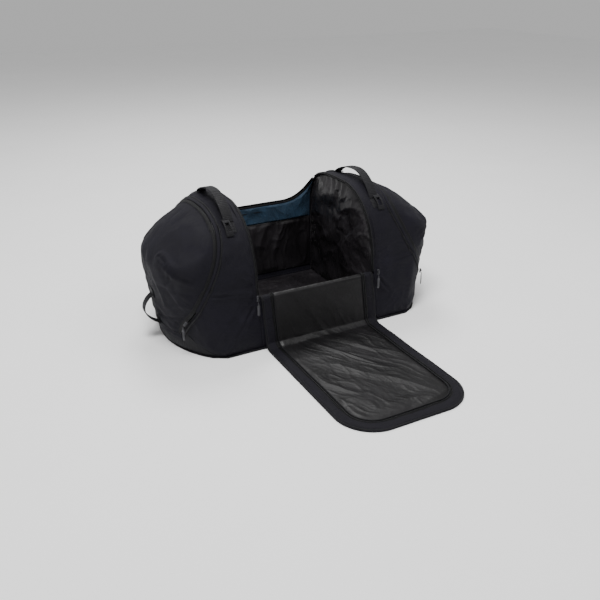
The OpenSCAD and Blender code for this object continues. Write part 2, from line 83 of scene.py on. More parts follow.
def add_light(name, place, size, power):
    data = bpy.data.lights.new(name, "AREA")
    data.shape, data.size, data.energy = "DISK", size, power
    light = bpy.data.objects.new(name, data)
    light.location = place
    aim(light, Vector((0, -0.1, 0.15)) - Vector(place))


add_camera()
add_light("key", (-0.7, -0.7, 3.0), 1.2, 88)
add_light("fill", (1.6, -1.3, 2.8), 1.5, 20)
add_light("back", (0.6, 1.7, 2.8), 1.3, 58)
world = bpy.data.worlds.new("studio")
world.use_nodes = True
world.node_tree.nodes["Background"].inputs["Color"].default_value = (1.0, 1.0, 1.0, 1)
world.node_tree.nodes["Background"].inputs["Strength"].default_value = 0.5
scene.world = world


# ---------------------------------------------------------------- materials

def new_material(name):
    material = bpy.data.materials.new(name)
    material.use_nodes = True
    tree = material.node_tree
    tree.nodes.clear()
    out = tree.nodes.new("ShaderNodeOutputMaterial")
    shader = tree.nodes.new("ShaderNodeBsdfPrincipled")
    tree.links.new(shader.outputs[0], out.inputs[0])
    coords = tree.nodes.new("ShaderNodeTexCoord").outputs["Object"]
    return material, tree, shader, coords


def add_noise(tree, coords, scale, detail=4, rough=0.55):
    node = tree.nodes.new("ShaderNodeTexNoise")
    node.inputs["Scale"].default_value = scale
    node.inputs["Detail"].default_value = detail
    node.inputs["Roughness"].default_value = rough
    tree.links.new(coords, node.inputs["Vector"])
    return node.outputs["Fac"]


def add_wave(tree, coords, scale, direction):
    node = tree.nodes.new("ShaderNodeTexWave")
    node.wave_type, node.bands_direction = "BANDS", direction
    node.inputs["Scale"].default_value = scale
    node.inputs["Distortion"].default_value = 0.4
    node.inputs["Detail"].default_value = 0
    tree.links.new(coords, node.inputs["Vector"])
    return node.outputs["Fac"]


def add_math(tree, operation, a, b):
    node = tree.nodes.new("ShaderNodeMath")
    node.operation = operation
    for socket, value in zip(node.inputs, (a, b)):
        if isinstance(value, (int, float)):
            socket.default_value = value
        else:
            tree.links.new(value, socket)
    return node.outputs[0]


def add_ramp(tree, value, stops):
    node = tree.nodes.new("ShaderNodeValToRGB")
    ramp = node.color_ramp
    while len(ramp.elements) < len(stops):
        ramp.elements.new(0.5)
    for element, (place, color) in zip(ramp.elements, stops):
        element.position, element.color = place, (*color, 1)
    tree.links.new(value, node.inputs[0])
    return node.outputs[0]


def add_bump(tree, height, distance, under=None):
    node = tree.nodes.new("ShaderNodeBump")
    node.inputs["Distance"].default_value = distance
    tree.links.new(height, node.inputs["Height"])
    if under is not None:
        tree.links.new(under, node.inputs["Normal"])
    return node.outputs[0]


def add_mix(tree, a, b, share):
    """A share of a, and the rest of b."""
    first, rest = add_math(tree, "MULTIPLY", a, share), add_math(tree, "MULTIPLY", b, 1 - share)
    return add_math(tree, "ADD", first, rest)


def connect(tree, shader, color, normal, rough):
    for socket, value in (("Base Color", color), ("Normal", normal), ("Roughness", rough)):
        tree.links.new(value, shader.inputs[socket])


def shade(color, by):
    return tuple(min(1.0, c * by) for c in color)


# At a scale of one over this many threads, a wave texture repeats about every two threads
THREAD_SCALE = 6.5


def cloth(name, color, rough, sheen, thread, mottle=0.22, weave=0.00025, gloss=0.3, fleck=0.12):
    """Woven cloth: threads both ways, worn and dusty patches, and a soft sheen."""
    material, tree, shader, coords = new_material(name)
    patches = add_noise(tree, coords, 16, 5)
    fibres = add_noise(tree, coords, 900, 2)
    tone = add_ramp(tree, add_mix(tree, patches, fibres, 0.75), [
        (0.30, shade(color, 1 - mottle)), (0.52, color), (0.70, shade(color, 1 + mottle + fleck))])
    scale = 1 / (THREAD_SCALE * thread * MM)
    bands = [add_wave(tree, coords, scale, way) for way in "XZ"]
    threads = add_math(tree, "MAXIMUM", *bands)
    across = add_math(tree, "MULTIPLY", threads, add_wave(tree, coords, scale, "Y"))
    bump = add_bump(tree, add_math(tree, "ADD", threads, across), weave)
    rough_tone = add_ramp(tree, patches, [(0.3, (rough - 0.06,) * 3), (0.75, (min(1, rough + 0.08),) * 3)])
    connect(tree, shader, tone, add_bump(tree, patches, 0.0012, bump), rough_tone)
    shader.inputs["Sheen Weight"].default_value = sheen
    shader.inputs["Sheen Roughness"].default_value = 0.45
    shader.inputs["Sheen Tint"].default_value = (0.80, 0.80, 0.95, 1)
    shader.inputs["Specular IOR Level"].default_value = gloss
    return material


def coated(name, color, low, high, gloss, crease=0.0011):
    """Thin coated cloth: glossy film over a fine weave, creased and scuffed."""
    material, tree, shader, coords = new_material(name)
    patches = add_noise(tree, coords, 11, 6, 0.6)
    creases = add_noise(tree, coords, 42, 5, 0.65)
    dust = add_noise(tree, coords, 340, 3)
    tone = add_ramp(tree, add_mix(tree, patches, dust, 0.7), [
        (0.32, shade(color, 0.55)), (0.5, color), (0.66, shade(color, 2.1))])
    folds = add_math(tree, "MULTIPLY", creases, creases)
    grain = add_bump(tree, dust, 0.00012)
    rough_tone = add_ramp(tree, patches, [(0.3, (low,) * 3), (0.72, (high,) * 3)])
    connect(tree, shader, tone, add_bump(tree, folds, crease, grain), rough_tone)
    shader.inputs["Specular IOR Level"].default_value = gloss
    shader.inputs["Coat Weight"].default_value = 0.06
    shader.inputs["Coat Roughness"].default_value = 0.3
    return material


def hard(name, color, rough, metallic, grain=0.00008):
    """Moulded or painted hard parts, rubbed brighter in patches."""
    material, tree, shader, coords = new_material(name)
    wear = add_noise(tree, coords, 160, 5)
    fine = add_noise(tree, coords, 1500, 2)
    tone = add_ramp(tree, wear, [(0.35, shade(color, 0.8)), (0.58, color), (0.75, shade(color, 1.5))])
    smooth = add_ramp(tree, wear, [(0.35, (rough + 0.08,) * 3), (0.75, (rough - 0.08,) * 3)])
    connect(tree, shader, tone, add_bump(tree, fine, grain), smooth)
    shader.inputs["Metallic"].default_value = metallic
    return material


SHELL = cloth("shell_cloth", (0.0058, 0.0052, 0.0092), 0.70, 0.012, 0.9, gloss=0.16)
BASE = cloth("base_cloth", (0.0062, 0.0060, 0.0078), 0.6, 0.02, 1.4, weave=0.0004, gloss=0.2)
BORDER = cloth("border_cloth", (0.0058, 0.0052, 0.0084), 0.70, 0.012, 0.9, gloss=0.16)
TRIM = cloth("edge_tape", (0.0036, 0.0035, 0.0045), 0.58, 0.02, 0.6, gloss=0.22)
WEBBING = cloth("webbing", (0.0052, 0.0050, 0.0064), 0.62, 0.03, 1.6, weave=0.0005, gloss=0.22)
TAPE = cloth("zipper_tape", (0.0026, 0.0026, 0.0032), 0.62, 0.01, 0.7, gloss=0.2)
BLUE = cloth("blue_lining", (0.016, 0.040, 0.072), 0.5, 0.04, 0.6, mottle=0.45, gloss=0.35)
LINING = coated("coated_lining", (0.0110, 0.0095, 0.0112), 0.30, 0.50, 0.5)
MAT = coated("mat_lining", (0.0040, 0.0036, 0.0042), 0.40, 0.60, 0.22, crease=0.0013)
GREY = cloth("grey_webbing", (0.30, 0.29, 0.31), 0.7, 0.1, 1.2)
TEETH = hard("zipper_teeth", (0.0040, 0.0040, 0.0046), 0.42, 0.0)
METAL = hard("slider_metal", (0.045, 0.045, 0.050), 0.36, 0.75)
RUBBER = hard("pull_tag", (0.040, 0.040, 0.046), 0.55, 0.0)
THREAD = hard("thread", (0.0080, 0.0078, 0.0095), 0.6, 0.0)
BOARD = hard("stiffener", (0.05, 0.05, 0.05), 0.7, 0.0)


# ---------------------------------------------------------------- mesh helpers

def add_mesh(name, points, faces, materials, indices=None, smooth=True):
    mesh = bpy.data.meshes.new(name)
    mesh.from_pydata((np.asarray(points, float) * MM).tolist(), [], [list(map(int, f)) for f in faces])
    for m in materials:
        mesh.materials.append(m)
    if indices is not None:
        mesh.polygons.foreach_set("material_index", np.asarray(indices, np.int32))
    mesh.polygons.foreach_set("use_smooth", np.broadcast_to(smooth, len(mesh.polygons)))
    work = bmesh.new()
    work.from_mesh(mesh)
    bmesh.ops.recalc_face_normals(work, faces=work.faces)
    work.to_mesh(mesh)
    work.free()
    mesh.update()
    piece = bpy.data.objects.new(name, mesh)
    scene.collection.objects.link(piece)
    return piece


def grid_faces(rows, cols, first=0):
    i, j = np.meshgrid(np.arange(rows - 1), np.arange(cols - 1), indexing="ij")
    a = (first + i * cols + j).ravel()
    return np.stack([a, a + 1, a + cols + 1, a + cols], 1)


def grid_edge(rows, cols):
    index = np.arange(rows * cols).reshape(rows, cols)
    return np.concatenate([index[0, :-1], index[:-1, -1], index[-1, :0:-1], index[:0:-1, 0]])


def shell(name, outer, inner, materials, normals=None):
    """A closed sheet between two grids of points. Its inside may take a second material, and its outside
    given shading normals, so that no line shows where it meets the next strip."""
    rows, cols = outer.shape[:2]
    n = rows * cols
    front, back = grid_faces(rows, cols), grid_faces(rows, cols, n)[:, ::-1]
    edge = grid_edge(rows, cols)
    following = np.roll(edge, -1)
    rim = np.stack([edge, following, following + n, edge + n], 1)
    inside = np.full(len(back), len(materials) - 1)
    indices = np.concatenate([np.zeros(len(front), int), inside, np.zeros(len(rim), int)])
    points = np.concatenate([outer.reshape(-1, 3), inner.reshape(-1, 3)])
    soft = np.arange(len(indices)) < len(front) + len(back)
    piece = add_mesh(name, points, np.concatenate([front, back, rim]), materials, indices, soft)
    if normals is not None:
        free = np.zeros_like(normals)
        custom = np.concatenate([normals.reshape(-1, 3), free.reshape(-1, 3)])
        piece.data.normals_split_custom_set_from_vertices(custom.tolist())
    return piece


def unit(v):
    return v / np.maximum(np.linalg.norm(v, axis=-1, keepdims=True), 1e-12)


def grid_normals(p, towards):
    n = unit(np.cross(np.gradient(p, axis=0), np.gradient(p, axis=1)))
    return n * np.sign((n * towards).sum(-1, keepdims=True) + 1e-9)


def resample(points, step, *others):
    along = np.concatenate([[0], np.cumsum(np.linalg.norm(np.diff(points, axis=0), axis=1))])
    count = max(2, int(round(along[-1] / step)) + 1)
    at = np.linspace(0, along[-1], count)
    return [np.stack([np.interp(at, along, column) for column in q.T], 1) for q in (points, *others)]


def path_frames(points, normals, loop=False):
    ahead = np.roll(points, -1, 0) - np.roll(points, 1, 0) if loop else np.gradient(points, axis=0)
    tangent = unit(ahead)
    side = unit(np.cross(tangent, normals))
    return tangent, side, np.cross(side, tangent)


def sweep(name, points, normals, profile, material, loop=False, scale=None):
    """A cross-section of (side, lift) corners swept along a path."""
    _, side, up = path_frames(points, normals, loop)
    grow = np.ones(len(points)) if scale is None else scale
    section = np.asarray(profile, float)[None] * grow[:, None, None]
    rings = points[:, None] + side[:, None] * section[..., :1] + up[:, None] * section[..., 1:]
    rows, cols = rings.shape[:2]
    faces = []
    for i in range(rows if loop else rows - 1):
        a, b = i * cols, (i + 1) % rows * cols
        faces += [[a + j, a + (j + 1) % cols, b + (j + 1) % cols, b + j] for j in range(cols)]
    if not loop:
        faces += [list(range(cols)), list(range((rows - 1) * cols, rows * cols))]
    return add_mesh(name, rings.reshape(-1, 3), faces, [material])


def circle(radius, count=10):
    return [(radius * math.cos(2 * math.pi * k / count), radius * math.sin(2 * math.pi * k / count))
            for k in range(count)]


def flat(width, thick, rise=0.0):
    """A strap's section, with rounded selvedges."""
    w, t = width / 2, thick / 2
    half = [(-w, 0), (-w + 0.3 * t, 0.7 * t), (-w + t, t), (0, t), (w - t, t), (w - 0.3 * t, 0.7 * t)]
    return [(x, y + t + rise) for x, y in half + [(-x, -y) for x, y in half]]


# Zipper teeth and stitches: pitch, then size along, across and up
TOOTH = 3.2, (1.7, 2.6, 1.9)
LID_TOOTH = 3.2, (1.7, 2.8, 1.9)
END_TOOTH = 3.0, (1.5, 2.6, 1.7)
STITCH = 4.2, (2.9, 0.6, 0.6)
LID_STITCH = 4.2, (2.9, 0.6, 0.8)
END_STITCH = 4.2, (2.9, 0.55, 0.6)
STRAP_STITCH = 3.4, (2.4, 0.7, 0.6)
ANCHOR_STITCH = 3.2, (2.2, 0.7, 0.6)


def stamps(name, points, normals, kind, material, side_by=0.0, lift=0.0):
    """A row of small pieces along a path, such as zipper teeth or stitches."""
    pitch, size = kind
    p, n = resample(points, pitch, normals)
    tangent, side, up = path_frames(p, n)
    half = np.array(size) / 2
    corners = np.array([[x, y, z] for z in (-1, 1) for x, y in ((-1, -1), (1, -1), (1, 1), (-1, 1))], float)
    corners[4:, :2] *= 0.62
    corners = corners * half + [0, side_by, lift]
    spots = (p[:, None] + tangent[:, None] * corners[:, :1] + side[:, None] * corners[:, 1:2]
             + up[:, None] * corners[:, 2:])
    box = np.array([[0, 3, 2, 1], [4, 5, 6, 7], [0, 1, 5, 4], [1, 2, 6, 5], [2, 3, 7, 6], [3, 0, 4, 7]])
    faces = (np.arange(len(p))[:, None, None] * 8 + box[None]).reshape(-1, 4)
    return add_mesh(name, spots.reshape(-1, 3), faces, [material], smooth=False)


def ripple(p, size, seed):
    """Smooth waves of about that size in mm, about 1 high."""
    rng = np.random.default_rng(seed)
    total = np.zeros(p.shape[:-1])
    for _ in range(9):
        way = unit(rng.normal(size=3)) * 2 * math.pi / size * rng.uniform(0.6, 1.5)
        total += np.sin(p @ way + rng.uniform(0, 2 * math.pi))
    return total / 3


def crinkle(p, size, seed):
    """Creased cloth: sharp ridges between flat faces, from 0 to about 1."""
    bent = p + np.stack([ripple(p, size * 1.7, seed + k) for k in range(3)], -1) * size * 0.22
    return 1 - np.minimum(1, np.abs(ripple(bent, size, seed + 5)) * 1.25)


def step(x, low, high):
    u = np.clip((x - low) / (high - low), 0, 1)
    return u * u * (3 - 2 * u)


def line_distance(p, line):
    """Distance of each point from a line of places."""
    line = np.asarray(line, float)
    best = np.full(p.shape[:-1], 1e9)
    for a, b in zip(line[:-1], line[1:]):
        t = np.clip(((p - a) @ (b - a)) / ((b - a) @ (b - a)), 0, 1)
        best = np.minimum(best, np.linalg.norm(p - a - t[..., None] * (b - a), axis=-1))
    return best


SIMULATED_FRAMES = 20


def relax(points, held, grow, cap, soft=0.25):
    """Cloth simulation of a grid sheet, held where held is true. grow makes it slack, so that it wrinkles,
    and no point moves further than the cap."""
    rows, cols = points.shape[:2]
    work = add_mesh("cloth_work", points.reshape(-1, 3), grid_faces(rows, cols), [])
    pins = work.vertex_groups.new(name="held")
    pins.add(np.nonzero(held.ravel())[0].tolist(), 1.0, "REPLACE")
    settings = work.modifiers.new("cloth", "CLOTH").settings
    settings.quality, settings.mass = 6, 0.12
    settings.tension_stiffness = settings.compression_stiffness = 18
    settings.shear_stiffness, settings.bending_stiffness = 6, soft
    settings.vertex_group_mass = "held"
    settings.shrink_min = settings.shrink_max = -grow
    settings.effector_weights.gravity = 0
    for f in range(1, SIMULATED_FRAMES + 1):
        scene.frame_set(f)
    done = work.evaluated_get(bpy.context.evaluated_depsgraph_get()).data
    moved = np.zeros(rows * cols * 3)
    done.vertices.foreach_get("co", moved)
    scene.frame_set(1)
    bpy.data.objects.remove(work)
    shift = moved.reshape(points.shape) / MM - points
    length = np.linalg.norm(shift, axis=-1, keepdims=True)
    return points + shift * np.minimum(1, cap / np.maximum(length, 1e-9))


def put(piece, body, slot, *nodes):
    """Rides a body given by name. A bend, given as two bodies, a start and an end, is not used: the piece
    only has its transform baked and rides no body. The slot is not used. Stands for its CAD nodes, which it
    hides."""
    if isinstance(body, str):
        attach(piece, body)
    else:
        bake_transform(piece)
    if nodes:
        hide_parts(*nodes)
    return piece


def padded_shell(name, side, outer, inner, materials, body, slot, fill, *nodes):
    """A padded piece made for the right half of the bag, on either side."""
    piece = shell(name, on_side(outer, side), on_side(inner, side), materials)
    put(piece, body, slot, *nodes)
    return piece


# ---------------------------------------------------------------- the body's surface

section_low, section_high = mm_box("right_section")
sill = mm_box("front_wall")[1][2]
HALF_DEPTH = mm_box("base_panel")[1][1]
HEIGHT = section_high[2]
HALF_OPEN = section_low[0]
WAIST, FRONT, DROP = 175.0, 166.0, 195.0
FRONT_ROUND, REAR_ROUND, BASE_ROUND = 2.0, 4.0, 10.0
SHOULDER, SLOPE, FOOT, LEAN, BULGE, END_ROUND, RIDGE = 262.0, 1.3, 385.0, 0.12, 95.0, 2.2, 8.0
CORNER, CORNER_FROM, FOOT_TIGHT, CORNER_SHARE = 35.0, 0.78, 0.6, 0.25
WALL, CLOTH_BASE = 4.0, 3.0
TOP_RISE = HEIGHT - WAIST
ZIP_X, ZIP_RUN, ZIP_KNEE, HINGE_Z = 258.0, 109.0, 325.0, 38.0


def outline_radius(t, g=0.0):
    c, s = np.cos(t), np.sin(t)
    spread = np.where(c < 0, FRONT, HALF_DEPTH) - g
    rise = np.where(s >= 0, TOP_RISE, DROP) - g
    n = np.where(s < 0, BASE_ROUND, np.where(c < 0, FRONT_ROUND, REAR_ROUND))
    return (np.abs(c / spread) ** n + np.abs(s / rise) ** n) ** (-1 / n)


def place(t, share, g=0.0):
    r = share * outline_radius(t, g)
    z = WAIST + r * np.sin(t)
    y = r * np.cos(t)
    return np.where(y < 0, y * (1 + (HALF_DEPTH / FRONT - 1) * np.maximum(0, 1 - z / WAIST)), y), z


def end_reach(y, z):
    slope, foot = SHOULDER + SLOPE * (HEIGHT - z), FOOT + LEAN * z
    least = np.minimum(slope, foot)
    soft = np.exp(-(slope - least) / RIDGE) + np.exp(-(foot - least) / RIDGE)
    return least - RIDGE * np.log(soft) - BULGE * (np.abs(y) / HALF_DEPTH) ** END_ROUND


def skin(t, along, g=0.0, floor=CLOTH_BASE):
    """The right half of the body's skin: along runs from 0 in the middle to 2 at the centre of the end."""
    t, along = np.broadcast_arrays(np.asarray(t, float), np.asarray(along, float))
    down = np.maximum(0, -np.sin(t))
    radius = CORNER * (1 - FOOT_TIGHT * down)
    start = CORNER_FROM + (1 - CORNER_FROM) * FOOT_TIGHT * down
    turn = np.where(along <= 1, math.pi / 2, np.maximum(0, math.pi / 2 * (1 - (along - 1) / CORNER_SHARE)))
    share = np.where(along < 1 + CORNER_SHARE, start + (1 - start) * np.sin(turn),
                     start * (2 - along) / (1 - CORNER_SHARE))
    y, z = place(t, share)
    edge = end_reach(*place(t, 1.0)) - radius
    x = np.where(along <= 1, along * edge, end_reach(y, z) - radius * (1 - np.cos(turn)) - g * np.cos(turn))
    y, z = place(t, share, g * np.sin(turn))
    return np.stack([x, y, np.maximum(floor, z)], -1)


def skin_normal(t, along):
    h = 2e-3
    across = skin(t, along + h, floor=-99) - skin(t, along - h, floor=-99)
    round_it = skin(t + h, along, floor=-99) - skin(t - h, along, floor=-99)
    n = unit(np.cross(across, round_it))
    out = skin(t, along) - np.array([120.0, 0, 150.0])
    return n * np.sign((n * out).sum(-1, keepdims=True) + 1e-9)


def beyond(t, along, distance):
    h = 0.01
    run = np.linalg.norm(skin(t, along + h) - skin(t, along - h), axis=-1)
    return along + distance * 2 * h / run


def crossing(t, stop, is_past):
    """How far along the skin each angle's place first lies past a line, by halving."""
    low, high = np.zeros_like(t), np.full_like(t, stop)
    for _ in range(18):
        mid = (low + high) / 2
        past = is_past(skin(t, mid))
        low, high = np.where(past, low, mid), np.where(past, mid, high)
    return (low + high) / 2


def zip_along(t):
    def is_past(p):
        x = ZIP_X + ZIP_RUN * step((ZIP_KNEE - p[..., 2]) / (ZIP_KNEE - HINGE_Z), 0, 1)
        return (p[..., 0] > x) & (p[..., 2] > HINGE_Z)

    return crossing(t, 2.0, is_past)


def along_at(t, x):
    return crossing(t, 1.5, lambda p: p[..., 0] > x)


def angle_at(z, front):
    """The outline's angle at a height, in front or behind."""
    rise, power = (TOP_RISE, FRONT_ROUND if front else REAR_ROUND) if z >= WAIST else (DROP, BASE_ROUND)
    spread = FRONT if front else HALF_DEPTH
    y = spread * (1 - (abs(z - WAIST) / rise) ** power) ** (1 / power)
    return math.atan2(z - WAIST, -y if front else y) % (2 * math.pi) if front else math.atan2(z - WAIST, y)


def top_z(y):
    power, spread = (FRONT_ROUND, FRONT) if y < 0 else (REAR_ROUND, HALF_DEPTH)
    return WAIST + TOP_RISE * (1 - (abs(y) / spread) ** power) ** (1 / power)


FRONT_FOOT = angle_at(CLOTH_BASE, True)
REAR_FOOT = angle_at(CLOTH_BASE, False)
SILL_ANGLE = angle_at(sill, True)
ZIP_END_Y = HALF_DEPTH * ((FOOT + LEAN * HINGE_Z - ZIP_X - ZIP_RUN) / BULGE) ** (1 / END_ROUND)
ZIP_REAR = math.atan2(HINGE_Z - WAIST, ZIP_END_Y)
_lean = 1 + (HALF_DEPTH / FRONT - 1) * (1 - HINGE_Z / WAIST)
ZIP_FRONT = math.pi + math.atan2(WAIST - HINGE_Z, ZIP_END_Y / _lean)


def on_side(points, side):
    return points * np.array([side, 1.0, 1.0])


SEAM = 2.5
# How far the main zipper's tape runs from the middle
OPENING_SEAM = 174.8
# Seams and creases on the right end, as places on or near the skin
GUSSET = [(279, -200, 14), (256, -199, 37), (229, -192, 70), (197, -180, 113)]
SIDE_SEAM = [(186, -176, 152), (240, -173, 156), (312, -166, 166)]
END_CREASE = [(391, -60, 254), (387, -84, 248), (380, -122, 232), (367, -141, 222), (342, -159, 209)]
LOW_SEAM = [(396, 90, 70), (396, 4, 67), (390, -71, 87), (367, -131, 106), (353, -152, 128)]
PLEATS = [[(386, -62 - 14 * k, 246 - 3 * k), (389 - k, -58 - 13 * k, 215 - 2 * k),
           (391 - k, -48 - 12 * k, 196)] for k in range(5)]


def seam_dip(p, line, deep, wide, puff=0.8):
    d = line_distance(p, line)
    return -deep * np.exp(-(d / wide) ** 2) + puff * np.exp(-((d - 3.2 * wide) / (2.2 * wide)) ** 2)


def disc_grid(half):
    """A square grid wrapped round a centre, so that it has no pole: angles, and shares of the way out."""
    i, j = np.meshgrid(np.arange(-half, half + 1), np.arange(-half, half + 1), indexing="ij")
    ring = np.maximum(np.abs(i), np.abs(j))
    run = np.where(i == ring, 3 * ring + j, np.where(j == ring, 5 * ring - i, 7 * ring - j))
    run = np.where(j == -ring, i + ring, run)
    return -2 * math.pi * run / np.maximum(1, 8 * ring), ring / half


def add_section(name, side, seed):
    """The shell between the opening and the end zipper."""
    t = np.linspace(FRONT_FOOT, REAR_FOOT, 320)
    u = np.linspace(0, 1, 84)
    first = HALF_OPEN / (end_reach(*place(t, 1.0)) - CORNER * (1 - FOOT_TIGHT * np.maximum(0, -np.sin(t))))
    last = beyond(t, zip_along(t), -SEAM)
    along = first[:, None] + (last - first)[:, None] * u
    rows = np.broadcast_to(t[:, None], along.shape)
    p = skin(rows, along)
    n = skin_normal(rows, along)
    hold = step(u, 0, 0.12) * step(1 - u, 0, 0.12)
    foot_hold = step(p[..., 2], 3, 24)
    bump = 1.5 * ripple(p, 120, seed) + 0.7 * ripple(p, 46, seed + 1) + 2.2 * (4 * u * (1 - u)) ** 0.6
    bump += 1.6 * crinkle(p, 90, seed + 2) * step(p[..., 2], 320, 240)
    bump += 1.0 * crinkle(p, 40, seed + 3) * step(p[..., 2], 90, 10)
    bump *= hold * foot_hold
    bump += seam_dip(p, GUSSET, 3.4, 2.6, 1.8) * foot_hold + seam_dip(p, SIDE_SEAM, 2.0, 2.0, 1.2) * hold
    outer = p + n * bump[..., None]
    outer[..., 2] = np.maximum(outer[..., 2], CLOTH_BASE)
    inner = skin(rows, along, WALL)
    padded_shell(f"{name}_section_shell", side, outer, inner, [SHELL, LINING], "bag", "shell_cloth", 0.5,
                 f"{name}_section")


def add_heel(name, side, seed):
    """The strip under the end door."""
    t = np.linspace(REAR_FOOT - 0.2 * TURN, FRONT_FOOT - 2 * math.pi + 0.2 * TURN, 90)
    far = np.minimum(1, (CLOTH_BASE - WAIST) / (outline_radius(t) * np.sin(t)))
    down = np.maximum(0, -np.sin(t))
    start = CORNER_FROM + (1 - CORNER_FROM) * FOOT_TIGHT * down
    round_part = np.arcsin(np.clip((far - start) / (1 - start), 0, 1)) / (math.pi / 2)
    rim = np.where(far <= start, 2 - far / start * (1 - CORNER_SHARE), 1 + CORNER_SHARE * (1 - round_part))
    last = beyond(t, zip_along(t), -SEAM)
    u = np.linspace(0, 1, 14)
    along = rim[:, None] + 0.01 + (last - rim - 0.01)[:, None] * u
    rows = np.broadcast_to(t[:, None], along.shape)
    p, n = skin(rows, along), skin_normal(rows, along)
    bump = 0.8 * ripple(p, 60, seed + 4) + 1.4 * (4 * u * (1 - u)) ** 0.6
    bump = bump * step(u, 0, 0.25) * step(1 - u, 0, 0.2)
    outer, inner = p + n * bump[..., None], skin(rows, along, WALL)
    padded_shell(f"{name}_heel_shell", side, outer, inner, [BASE, LINING], "bag", "shell_cloth", 0.4,
                 f"{name}_heel")


def add_door(name, side, seed):
    """The padded end door over the dome, wrinkled by a cloth simulation."""
    half = 44
    turn, share = disc_grid(half)
    edge = beyond(turn, zip_along(turn), SEAM)
    along = np.minimum(1.9995, 2 - (2 - edge) * share)
    p = skin(turn, along)
    p[half, half] = skin(0.0, 1.9999)
    n = grid_normals(p, np.array([1.0, 0, 0.12]))
    hold = step(1 - share, 0, 0.16)
    bump = 1.5 * ripple(p, 130, seed + 6) + 0.7 * ripple(p, 50, seed + 7) + 2.0 * hold
    bump += 2.2 * crinkle(p, 95, seed + 8) * step(p[..., 2], 300, 180)
    bump += 0.9 * crinkle(p, 42, seed + 9) * step(p[..., 2], 120, 40)
    bump *= hold
    for pleat in PLEATS:
        bump += seam_dip(p, pleat, 2.2, 3.0, 1.6) * hold
    bump += seam_dip(p, END_CREASE, 3.4, 2.6, 2.2) * hold + seam_dip(p, LOW_SEAM, 1.8, 2.2, 1.0) * hold
    wavy = relax(p + n * bump[..., None], share > 0.93, 0.012, 6)
    reach = mm_box("right_door_panel")[1][0] + 6
    wavy[..., 0] = np.minimum(wavy[..., 0], reach)
    inner = p - n * (WALL + 1.6)
    inner[..., 0] += 0.6 * ripple(p, 40, seed + 9) * hold
    padded_shell(f"{name}_door_shell", side, wavy, inner, [SHELL, LINING], f"{name}_door", "shell_cloth",
                 0.5, f"{name}_door_panel", f"{name}_door_lining")


def add_end_zip(name, side):
    """The end zipper: a tape and teeth on the door, teeth, cord and flap on the section."""
    door = f"{name}_door"
    t = np.linspace(ZIP_FRONT - 2 * TURN, ZIP_REAR + 2 * TURN, 420)

    def zip_line(distance, lift, angles=t):
        a = beyond(angles, zip_along(angles), distance)
        q, m = skin(angles, a), skin_normal(angles, a)
        return on_side(q + m * lift, side), on_side(m, side)

    put(sweep(f"{name}_door_zip_tape", *zip_line(8.0, 0.2), flat(9, 1.1), TAPE), door, "zipper_tape",
        f"{name}_door_tape")
    put(stamps(f"{name}_door_teeth", *zip_line(2.6, 0.6), END_TOOTH, TEETH), door, "zipper_tape")
    put(stamps(f"{name}_section_teeth", *zip_line(-2.0, 0.6), END_TOOTH, TEETH), "bag", "zipper_tape")
    put(stamps(f"{name}_door_stitches", *zip_line(12.4, 1.3), END_STITCH, THREAD, lift=0.3),
        door, "zipper_tape")
    put(sweep(f"{name}_end_cord", *zip_line(-10.2, 1.1), circle(2.5), TRIM), "bag", "binding",
        f"{name}_end_piping")
    put(stamps(f"{name}_cord_stitches", *zip_line(-14.5, 0.9), END_STITCH, THREAD), "bag", "binding")
    flap_foot = angle_at(126, True)
    span = np.linspace(flap_foot, math.pi - flap_foot, 300)
    wave = 0.5 * np.sin(np.linspace(0, 46, 300)) * np.sin(np.linspace(0, 9, 300))
    q, m = zip_line(-2.4, 0.9, span)
    q = q + m * (0.35 + 0.35 * wave)[:, None]
    arc = [(x, 0.9 + 1.1 * math.cos(x / 4.6 * 1.35)) for x in (-4.6, -2.3, 0, 2.3, 4.6)]
    flap = sweep(f"{name}_zip_flap", q, m, arc + [(x, y - 0.8) for x, y in arc[::-1]], SHELL)
    put(flap, "bag", "shell_cloth", f"{name}_storm_flap")


def add_hinge_strip(name, side, seed):
    """The cloth that carries the door across its sewn hinge."""
    y = np.linspace(-ZIP_END_Y - 3, ZIP_END_Y + 3, 70)
    z = np.linspace(HINGE_Z - 11, HINGE_Z + 11, 17)
    yy, zz = np.meshgrid(y, z, indexing="ij")
    p = np.stack([end_reach(yy, zz), yy, zz], -1)
    n = grid_normals(p, np.array([1.0, 0, 0]))
    lift = 1.7 + 1.5 * np.exp(-((zz - HINGE_Z) / 5) ** 2) + 0.3 * ripple(p, 30, seed)
    x = float(end_reach(0.0, HINGE_Z)) * MM * side
    reach = 6
    bend = "bag", f"{name}_door", (x, 0, (HINGE_Z - reach) * MM), (x, 0, (HINGE_Z + reach) * MM)
    padded_shell(f"{name}_hinge_strip", side, p + n * lift[..., None], p + n * 0.35, [SHELL], bend,
                 "shell_cloth", 0.3)


